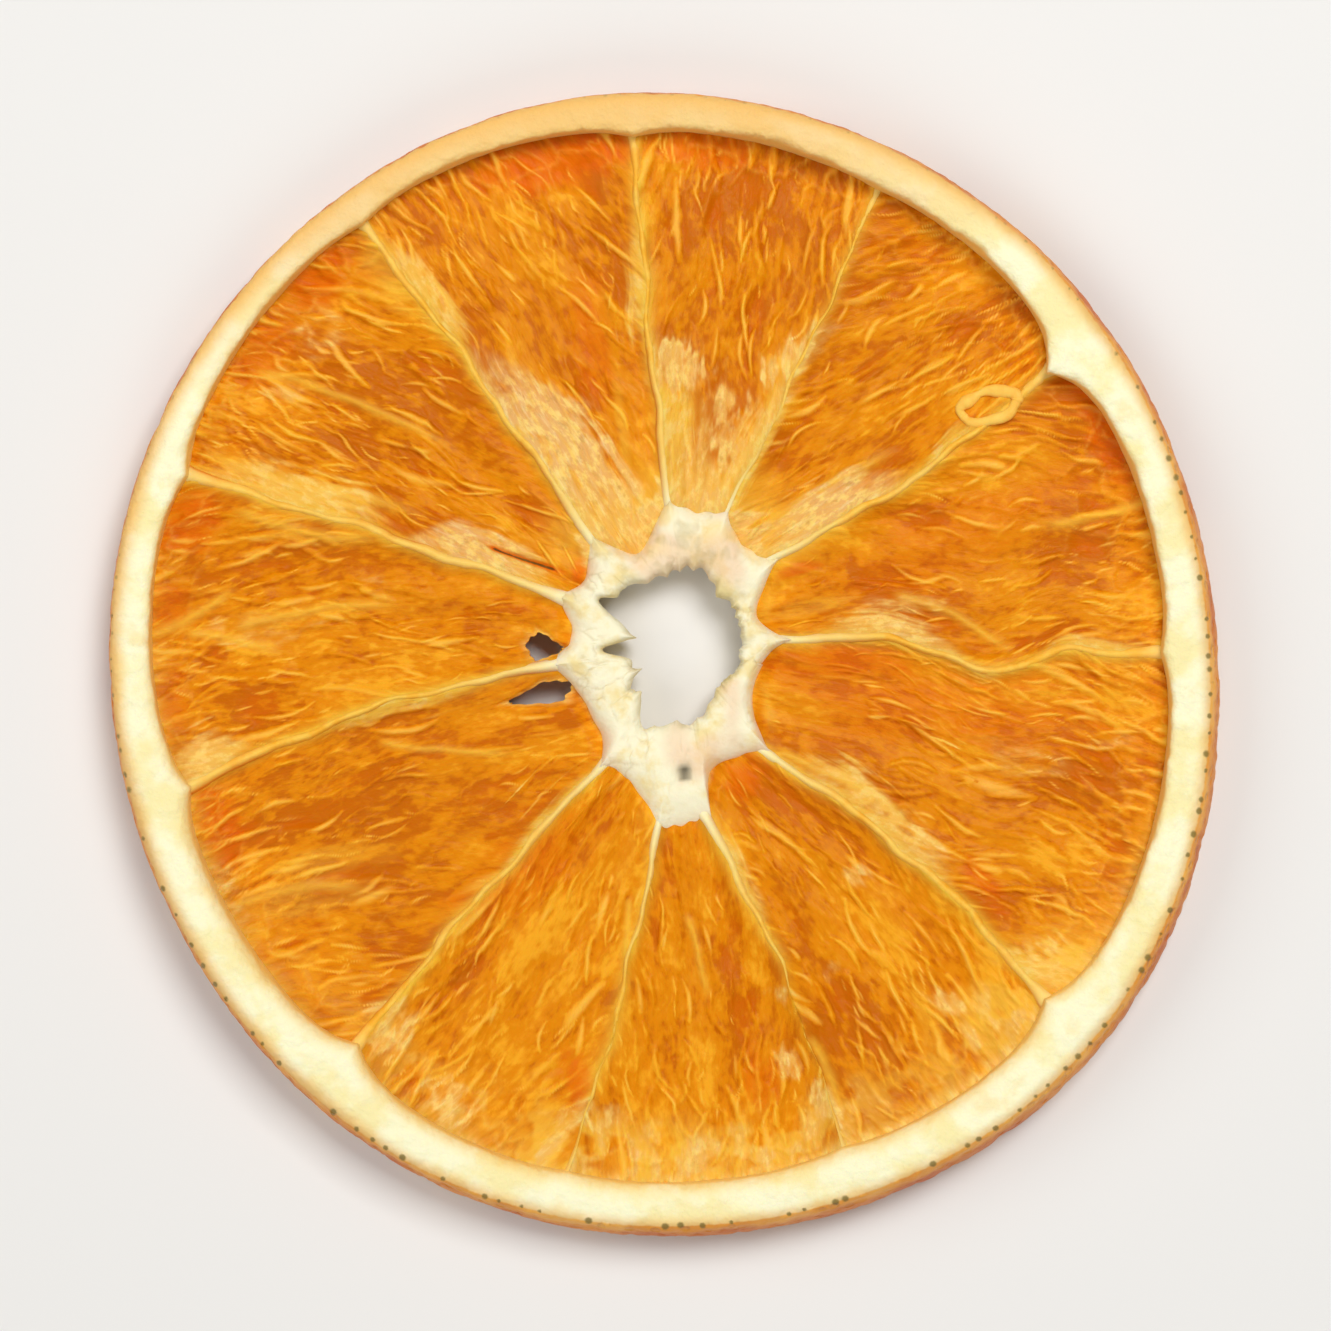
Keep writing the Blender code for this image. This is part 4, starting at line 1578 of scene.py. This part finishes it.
@dataclass
class WallRibbon:
    """The wall between two fields: an upright skin whose rounded crest stands out of the pulp."""

    plan: SlicePlan
    number: int
    reach: tuple[float, float] = (-0.04, 1.02)  # its ends, as shares of the wall's length
    points_along: int = 260
    sides: int = 20
    squareness: float = 0.8  # power of its section's sine
    half_width: float = 0.28
    core_spread: float = 0.16
    rind_spread: float = 0.35
    proud: float = 0.13
    core_dip: float = 0.4
    sway: float = 0.05
    sways: float = 21.0  # how many times it may stray, swell and rise along its length
    swells: float = 14.0
    rises: float = 12.0

    def build(self, before: PulpField, after: PulpField) -> bpy.types.Object:
        """Make the ribbon: a flat oval section carried along the wall's line.

        Args:
            before: The field on the wall's clockwise side.
            after: The field on its anticlockwise side.

        Returns:
            The piece.
        """
        plan, wall, noise = self.plan, self.plan.walls[self.number], Chance(120 + self.number)
        along = np.linspace(*self.reach, self.points_along)
        zero = np.zeros(along.shape)
        line = plan.place(self.number, zero, along)
        aside = leftward(unit(np.gradient(line, axis=0)))
        sway = self.sway * noise.rough(along * self.sways, 5) * np.sin(np.pi * np.clip(along, 0, 1))
        line = line + aside * sway[:, None]
        at_core, at_rind = fading(along, 0.10), fading(1 - along, 0.05)
        shows = wall.clear * (1.0 - 0.9 * ease(along, wall.fades - 0.1, wall.fades + 0.15))
        half = self.half_width * (0.5 + 0.9 * shows + 0.35 * noise.rough(along * self.swells, 9))
        half = half + self.core_spread * at_core + self.rind_spread * at_rind
        crest = np.maximum(after.height_at(zero, along), before.height_at(zero + 1, along))
        crest = crest + self.proud * (1.3 * shows - 0.35 + 0.5 * noise.rough(along * self.rises, 3))
        crest = crest - self.core_dip * ease(-along, -0.02, 0.03)
        under = plan.pulp_under - plan.under_share * wall.ridge
        turn = np.linspace(0, 2 * np.pi, self.sides, endpoint=False)
        squared = np.sign(np.sin(turn)) * np.abs(np.sin(turn)) ** self.squareness
        places = line[:, None] + aside[:, None] * (half[:, None] * np.cos(turn))[..., None]
        heights = ((crest + under) / 2)[:, None] + ((crest - under) / 2)[:, None] * squared
        pale = 1.3 * fading(along, 0.2) + at_rind + 0.3 * noise.rough(along * 6.0, 0)
        values = {
            "pale": np.clip(pale, 0.0, 1.0)[:, None],
            # Painted shade: the section below its top, on the ribbon's flanks, turns amber.
            "shaded_flank": 1.0 - ease(squared, 0.6, 0.9),
            "white": fading(along, 0.05)[:, None],
        }
        points = np.dstack([places, heights + plan.curl(places)]) + plan.shift
        return write_tube(f"wall_{self.number + 1:02d}", points, values, closed=False)


@dataclass
class SacLoop:
    """A sac skin that has dried to a small ring on the pulp, near the rind."""

    plan: SlicePlan
    middle: tuple[float, float] = (18.9, 15.1)
    half_size: tuple[float, float] = (1.6, 0.9)
    turn: float = 12.0
    thick: float = 0.31
    flatness: float = 0.7
    lifted: float = 0.04
    points_round: int = 120
    sides: int = 12

    def build(self, pulp: PulpField) -> bpy.types.Object:
        """Make the ring: a tube along an ellipse, a little thicker and higher at some places.

        Args:
            pulp: The field that it lies on.

        Returns:
            The piece.
        """
        plan = self.plan
        way = np.linspace(0.0, 2 * np.pi, self.points_round, endpoint=False)
        wobble = 1.0 + 0.06 * np.sin(2.0 * way + 0.7) + 0.05 * np.sin(5.0 * way)
        oval = np.stack([self.half_size[0] * np.cos(way), self.half_size[1] * np.sin(way)], axis=-1)
        line = np.stack(turned(oval * wobble[:, None], -self.turn), axis=-1) + np.array(self.middle)
        out = -leftward(unit(np.roll(line, -1, axis=0) - np.roll(line, 1, axis=0)))
        size = self.thick * (1.0 + 0.45 * Chance(160).rough(way * 1.6, 0))[:, None]
        across = np.linspace(0.0, 2 * np.pi, self.sides, endpoint=False)
        places = line[:, None] + out[:, None] * (size * np.cos(across))[..., None]
        grid = pulp.places.reshape(-1, 2)
        nearest = [int(np.argmin(np.hypot(*(grid - point).T))) for point in line]
        base = np.tile(pulp.upper.ravel()[nearest], 3)
        base = np.convolve(base, np.ones(15) / 15, mode="same")[len(way) : 2 * len(way)]
        heights = (base + self.lifted)[:, None] + self.flatness * size * np.sin(across)
        points = np.dstack([places, heights + plan.curl(places)]) + plan.shift
        return write_tube("sac_loop", points, {"pale": np.array(0.25)}, inward=False)


@dataclass
class RindRing:
    """The rind: a ring with a flat top, round shoulders and a pitted outer wall."""

    plan: SlicePlan
    columns: int = 1500
    over: int = 34
    under: int = 16
    squareness: float = 3.2
    inner_squareness: float = 5.5
    overhang: float = 0.31  # how far its inside stands over the pulp
    overhang_waves: Waves = ((1, 0.24, 120), (2, 0.13, 119))
    overhang_bells: Bells = ((222, 0.2, 22),)
    golden_width: float = 0.3
    press: float = 1.25
    lean: float = 0.32
    lean_waves: Waves = ((1, 0.30, 318),)
    skin: float = 0.40
    skin_waves: Waves = ((1, 0.22, 308), (3, 0.04, 80))
    pebble: float = 0.11
    pebble_size: float = 0.8
    dent: float = 0.09  # of its outer wall
    dent_size: tuple[float, float] = (1.6, 1.2)  # round the slice and upwards
    frays: Bumps = ((0.14, 1.1), (0.16, 3.5))  # of its inner edge
    top_bumps: Bumps = ((0.07, 1.6), (0.05, 0.5))
    crease: float = 0.05
    crease_size: tuple[float, float] = (5, 1.2)  # round the slice and inwards
    tan_side: float = 100.0
    glands: int = 170
    gland_size: float = 0.23
    gland_side: float = 290.0

    def gland_dots(self, angle: Array, depth: Array, skin: Array) -> Array:
        """How near each point is to an oil gland cut open along the skin's inner edge.

        Args:
            angle: Direction round the slice.
            depth: Distance in from the outside.
            skin: The skin's thickness there.

        Returns:
            Numbers from 0 to 1.
        """
        turn = angle / 360.0 * self.glands
        pitch = 2 * np.pi * self.plan.outline_radius / self.glands
        near, noise = np.zeros(depth.shape), Chance(13)
        for step in (-1, 0, 1):
            cell = (np.floor(turn) + step) % self.glands
            draws = [noise.lattice(cell, 0 * cell, draw) for draw in range(20, 24)]
            aside = pitch * (turn - np.floor(turn) - step - 0.2 - 0.6 * draws[0])
            inwards = depth - skin - 0.14 * (draws[1] - 0.3)
            size = self.gland_size * (0.6 + 0.6 * draws[2])
            near = np.maximum(near, bell(np.hypot(aside, inwards), size) * (draws[3] < 0.75))
        return near * (0.5 + 0.5 * ease(facing(angle, self.gland_side), -0.75, 0.3))

    def form(self, angle: Array, share: Array, rise: Array, over: Array) -> tuple[Array, Array, Array]:
        """The ring's section at each angle: over the top, and pressed flat on the floor below.

        Args:
            angle: Direction round the slice.
            share: Share of the way in, from the section.
            rise: Rise off the section's widest line.
            over: Whether a point is on top.

        Returns:
            Radius, height and the rind's width.
        """
        plan = self.plan
        outer = plan.outer_radius(angle)
        width = outer - plan.foot_radius(angle) + waves(angle, self.overhang, self.overhang_waves)
        width = width + bells(angle, self.overhang_bells)
        width = width + self.golden_width * plan.golden_side(polar(outer, angle))
        foot_top = plan.pulp_top + plan.foot_rise
        start_top = plan.outer_widest + (foot_top - plan.outer_widest) * share
        start_under = plan.outer_widest + (plan.pulp_under - plan.outer_widest) * share
        rim = waves(angle, plan.rim_height, plan.rim_waves)
        height = np.where(over, start_top + (rim - start_top) * rise, start_under * (1 - self.press * rise))
        height = np.maximum(height, 0.0)
        lean = waves(angle, self.lean, self.lean_waves) * (1 - share)
        lean = lean * np.maximum(height - plan.outer_widest, 0) / (plan.rim_height - plan.outer_widest)
        return outer - width * share - lean, height, width

    def build(self) -> bpy.types.Object:
        """Make the ring, roughened: a pebbled outer wall, an uneven top and a ragged inner edge.

        Returns:
            The piece.
        """
        plan, noise, other = self.plan, Chance(11), Chance(12)
        angle = np.linspace(0.0, 360.0, self.columns, endpoint=False)[:, None]
        gold_side = plan.golden_side(polar(plan.outer_radius(angle), angle))
        inner = self.inner_squareness - 2.2 * gold_side
        share, rise, over = section(self.over, self.under, self.squareness, inner)
        radius, height, width = self.form(angle, share, rise, over)
        depth = width * share
        ring_x, ring_y = np.moveaxis(polar(radius, angle), -1, 0)
        arc = np.radians(angle) * plan.outline_radius
        wall = ease(0.45 - depth, 0.0, 0.3)
        pore, _, pore_tone = noise.cells(arc / self.pebble_size, height / self.pebble_size + 5)
        pebble = self.pebble * bell(pore, 0.3) * (0.4 + 0.6 * pore_tone)
        long, tall = self.dent_size
        pebble = pebble + self.dent * ease(other.rough(arc / long, height / tall), -0.4, 0.7)
        (fine, fine_size), (wide, wide_size) = self.frays
        stray = fine * noise.rough(arc / fine_size, 3) + wide * other.rough(arc / wide_size, 8)
        radius = radius - wall * pebble * (height > 0.05) + ease(share, 0.55, 1.0) * over * stray * rise
        long, wide = self.crease_size
        top = bumps(ring_x, ring_y, self.top_bumps, (other, noise))
        top = top - self.crease * ease(noise.rough(arc / long, depth / wide), 0.2, 0.8)
        height = height + top * over * (1.0 - wall) * rise
        places = polar(radius, angle)
        skin = waves(angle, self.skin, self.skin_waves)
        values = {
            "depth": depth,
            "skin": skin,
            "edge": bell(width - depth, 0.25 + 0.4 * gold_side) * (0.5 + 0.5 * gold_side),
            "inner": ease(share, 0.96, 1.0),
            "tan": ease(facing(angle, self.tan_side) + 0.08 * noise.rough(arc / 3, depth), 0.6, 1.0),
            "dots": self.gland_dots(angle, depth, skin) * over,
        }
        points = np.dstack([places, height + plan.curl(places)]) + plan.shift
        return write_tube("rind", points, values)


@dataclass
class PithCore:
    """The core of pith: a ring round the torn hole, with arms along the walls."""

    plan: SlicePlan
    columns: int = 1100
    over: int = 46
    under: int = 22
    outer_squareness: float = 1.9
    inner_squareness: float = 3.6
    tooth_turn: float = 13.0
    tooth_depth: float = 0.6
    tooth_side: float = 190.0
    arm: float = 2.0
    arm_spread: float = 4.6
    gashes: Bells = ((153, 0.55, 9.0), (181, 0.6, 6.0), (217, 0.35, 4.0), (236, 0.4, 5.0))
    fills: Bells = ((253, 0.9, 9.0), (288, -0.8, 6.0), (304, 0.7, 7.0))  # of its outside
    fray: float = 0.12  # of the hole's edge
    fray_turn: float = 5.0
    foot: float = 0.7  # height at its outside, as a share of the pulp's
    lump: float = 0.09
    lumps: Bumps = ((1.4, 1.9), (0.5, 0.5))  # heights in lumps
    crack: float = 0.07
    crack_width: float = 0.09  # in cells between cracks
    crack_cell: float = 1.2
    pit_depth: float = 0.9

    def teeth(self, angle: Array, noise: Chance) -> Array:
        """How far pith juts into the hole: pointed teeth, longest on the torn side, and gashes.

        Args:
            angle: Directions from the hole's centre.
            noise: Noise that sizes the teeth.

        Returns:
            Distances in millimetres.
        """
        turn = angle / self.tooth_turn + 0.5 * noise.smooth(angle / 21.0, 0 * angle)
        tooth = 1.0 - np.abs(2.0 * (turn % 1.0) - 1.0)
        tall = noise.lattice(np.floor(turn), 0 * angle, 4)
        torn = ease(facing(angle, self.tooth_side), -0.9, 0.9)
        teeth = self.tooth_depth * (0.4 + 0.6 * torn) * tall * tooth**1.4
        for direction, depth, spread in self.gashes:
            near = np.clip(1.0 - np.abs(round_gap(angle, direction)) / (2.0 * spread), 0.0, 1.0)
            teeth = teeth * (1.0 - ease(near, 0.0, 0.5)) - depth * near
        return teeth

    def edges(self) -> tuple[Array, Array]:
        """The core's two edges seen from above: its outside with its arms, and its torn hole.

        Returns:
            The outside's points and the hole's, one pair for each column.
        """
        plan, noise, other = self.plan, Chance(21), Chance(22)
        angle = np.linspace(0.0, 360.0, self.columns, endpoint=False)
        edge = plan.core_edge(angle)
        hole = plan.hole_edge(edge)
        inward = np.array(plan.hole_centre) - hole
        hole_angle = bearing(-inward)
        ragged = self.teeth(hole_angle, noise) + self.fray * other.rough(hole_angle / self.fray_turn, 0)
        hole = hole + unit(inward) * ragged[:, None]
        longer = 0.02 + 0.1 * noise.rough(angle / 9.0, 0, 2)
        edge = edge + unit(edge) * longer[:, None]
        for number, wall in enumerate(plan.walls):
            line = plan.place(number, np.zeros(2), np.array([0.0, 0.12]))
            arm = self.arm * (0.6 + 0.5 * wall.clear)
            arm = arm * fading(np.abs(round_gap(angle, wall.at_core)), self.arm_spread)
            edge = edge + unit(line[1] - line[0]) * arm[:, None]
        return edge + polar(bells(angle, self.fills), angle), hole

    def build(self) -> bpy.types.Object:
        """Make the core: a superellipse section from the core's edge to the hole's edge.

        The section is rounder on the outside, where it meets the pulp, than at the hole. Lumps,
        cracks and the small pit are added to its height.

        Returns:
            The piece.
        """
        plan, noise, other = self.plan, Chance(21), Chance(22)
        edge, hole = self.edges()
        share, rise, over = section(self.over, self.under, self.outer_squareness, self.inner_squareness)
        outside, inside = plan.pulp_top * self.foot, 0.5 * (plan.core_top + plan.core_under)
        start = outside + (inside - outside) * share
        height = start + (np.where(over, plan.core_top, plan.core_under) - start) * rise
        places = edge[:, None] + (hole - edge)[:, None] * share[..., None]
        x, y = places[..., 0], places[..., 1]
        warp = 0.5 * other.rough(x / 1.1 + 20, y / 1.1)
        _, gap, _ = noise.cells(x / self.crack_cell + warp, y / self.crack_cell - warp)
        cracked = bell(gap, self.crack_width) * ease(other.rough(x / 1.5 + 40, y / 1.5), -0.1, 0.5)
        lumps = bumps(x, y, self.lumps, (noise, other))
        relief = self.lump * lumps - self.crack * cracked
        height = height + np.where(over, 1.0, -1.0) * relief * rise
        to_pit = np.hypot(x - plan.pit_place[0], y - plan.pit_place[1])
        to_pit = to_pit * (1.0 + 0.25 * noise.rough(x / 0.5 + 9, y / 0.5))
        pit = bell(to_pit, plan.pit_radius) * over * rise
        height = height - self.pit_depth * pit**1.5
        brink = ease(share, 0.8, 1.0) * ease(other.rough(x / 0.9, y / 0.9), -0.3, 0.5)
        upper = ease(y, 2.0, 7.0) * ease(other.rough(x / 0.8, y / 0.8 + 30), 0.0, 0.5)
        # Grey in cracks and in the low parts between lumps is painted shade; near the hole's brink and on
        # the upper side it is mottling.
        hollow = 0.35 * cracked + 0.5 * ease(-lumps, 0.5, 1.5) + 0.35 * brink + 0.45 * upper
        golden = ease(y, 3.0, 8.0) * ease(noise.rough(x / 1.3 + 6, y / 1.3), 0.0, 0.5)
        values = {
            "hollow": np.clip(hollow, 0, 1),
            # Painted shade: the pit's inside is coloured nearly black.
            "pit": np.clip(pit * 1.7 - 0.5, 0, 1),
            "rim": 0.4 * bell(share, 0.06) + 0.8 * golden * (1.0 - share),
        }
        return write_tube("pith_core", np.dstack([places, height]) + plan.shift, values)


@dataclass
class Studio:
    """Plain pale floor, soft light from above and a camera that looks straight down."""

    floor_size: float = 1.2
    floor_colour: Colour = colour(236, 234, 230)
    frame_width: float = 0.079
    sky: float = 0.17
    lamps: tuple = (  # name, place, side in metres and power in watts
        ("key", (0.13, 0.21, 0.45), 0.22, 1.78),
        ("side", (-0.36, 0.10, 0.34), 0.30, 0.75),
        ("front", (0.05, -0.38, 0.34), 0.30, 0.60),
    )
    lens: float = 110.0
    sensor: float = 36.0

    def floor(self) -> None:
        """The floor, at the height that the slice stands on."""
        half = self.floor_size / 2
        corners = [(-half, -half, 0.0), (half, -half, 0.0), (half, half, 0.0), (-half, half, 0.0)]
        mesh = bpy.data.meshes.new("floor")
        mesh.from_pydata(corners, [], [(0, 1, 2, 3)])
        plane = bpy.data.objects.new("floor", mesh)
        plane.location.z = cad_low.z
        bench = Bench("floor_finish")
        bench.feed(bench.shader, {"Base Color": self.floor_colour, "Roughness": 0.8})
        mesh.materials.append(bench.material)
        bpy.context.scene.collection.objects.link(plane)

    def lamp(self, name: str, place: tuple[float, float, float], size: float, power: float) -> None:
        """A soft square lamp that shines at the slice.

        Args:
            name: The lamp's name.
            place: Where it hangs, in metres.
            size: Its side.
            power: Its power in watts.
        """
        light = bpy.data.lights.new(name, "AREA")
        light.shape, light.size, light.energy = "SQUARE", size, power
        lamp = bpy.data.objects.new(name, light)
        lamp.location = place
        lamp.rotation_euler = (-lamp.location).to_track_quat("-Z", "Y").to_euler()
        bpy.context.scene.collection.objects.link(lamp)

    def build(self) -> None:
        """Set up floor, light, camera and plain colours."""
        self.floor()
        for lamp in self.lamps:
            self.lamp(*lamp)
        world = bpy.data.worlds.new("studio")
        world.use_nodes = True
        background = world.node_tree.nodes["Background"]
        background.inputs["Color"].default_value = (1, 1, 1, 1)
        background.inputs["Strength"].default_value = self.sky
        camera = bpy.data.cameras.new("camera")
        camera.lens, camera.sensor_width, camera.clip_start = self.lens, self.sensor, 0.01
        eye = bpy.data.objects.new("camera", camera)
        eye.location.z = self.frame_width * self.lens / self.sensor
        scene = bpy.context.scene
        scene.collection.objects.link(eye)
        scene.world, scene.camera = world, eye
        scene.view_settings.view_transform = "Standard"


def stand_in(piece: bpy.types.Object, finish: bpy.types.Material, slot: Slot) -> None:
    """Dress a piece, let it ride on the body and stand for the solid, and report it.

    Args:
        piece: The piece.
        finish: Its material.
        slot: Not used.
    """
    piece.data.materials.append(finish)
    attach(piece, BODY)
    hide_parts(NODE)
    LOG.info("%s: %d faces", piece.name, len(piece.data.polygons))


def main() -> None:
    """Build the slice and the studio."""
    logging.basicConfig(level=logging.INFO, format="%(name)s %(message)s")
    plan = SlicePlan()
    pulp, skin = PulpFinish().make(), WallFinish().make()
    fields = [PulpField(plan, number) for number in range(len(plan.walls))]
    for part in fields:
        stand_in(part.build(), pulp, Slot.PULP)
    for number in range(len(plan.walls)):
        ribbon = WallRibbon(plan, number).build(fields[number - 1], fields[number])
        stand_in(ribbon, skin, Slot.PULP)
    stand_in(SacLoop(plan).build(fields[1]), skin, Slot.PULP)
    stand_in(RindRing(plan).build(), RindFinish().make(), Slot.RIND)
    stand_in(PithCore(plan).build(), PithFinish().make(), Slot.PITH)
    Studio().build()


if __name__ == "__main__":
    main()
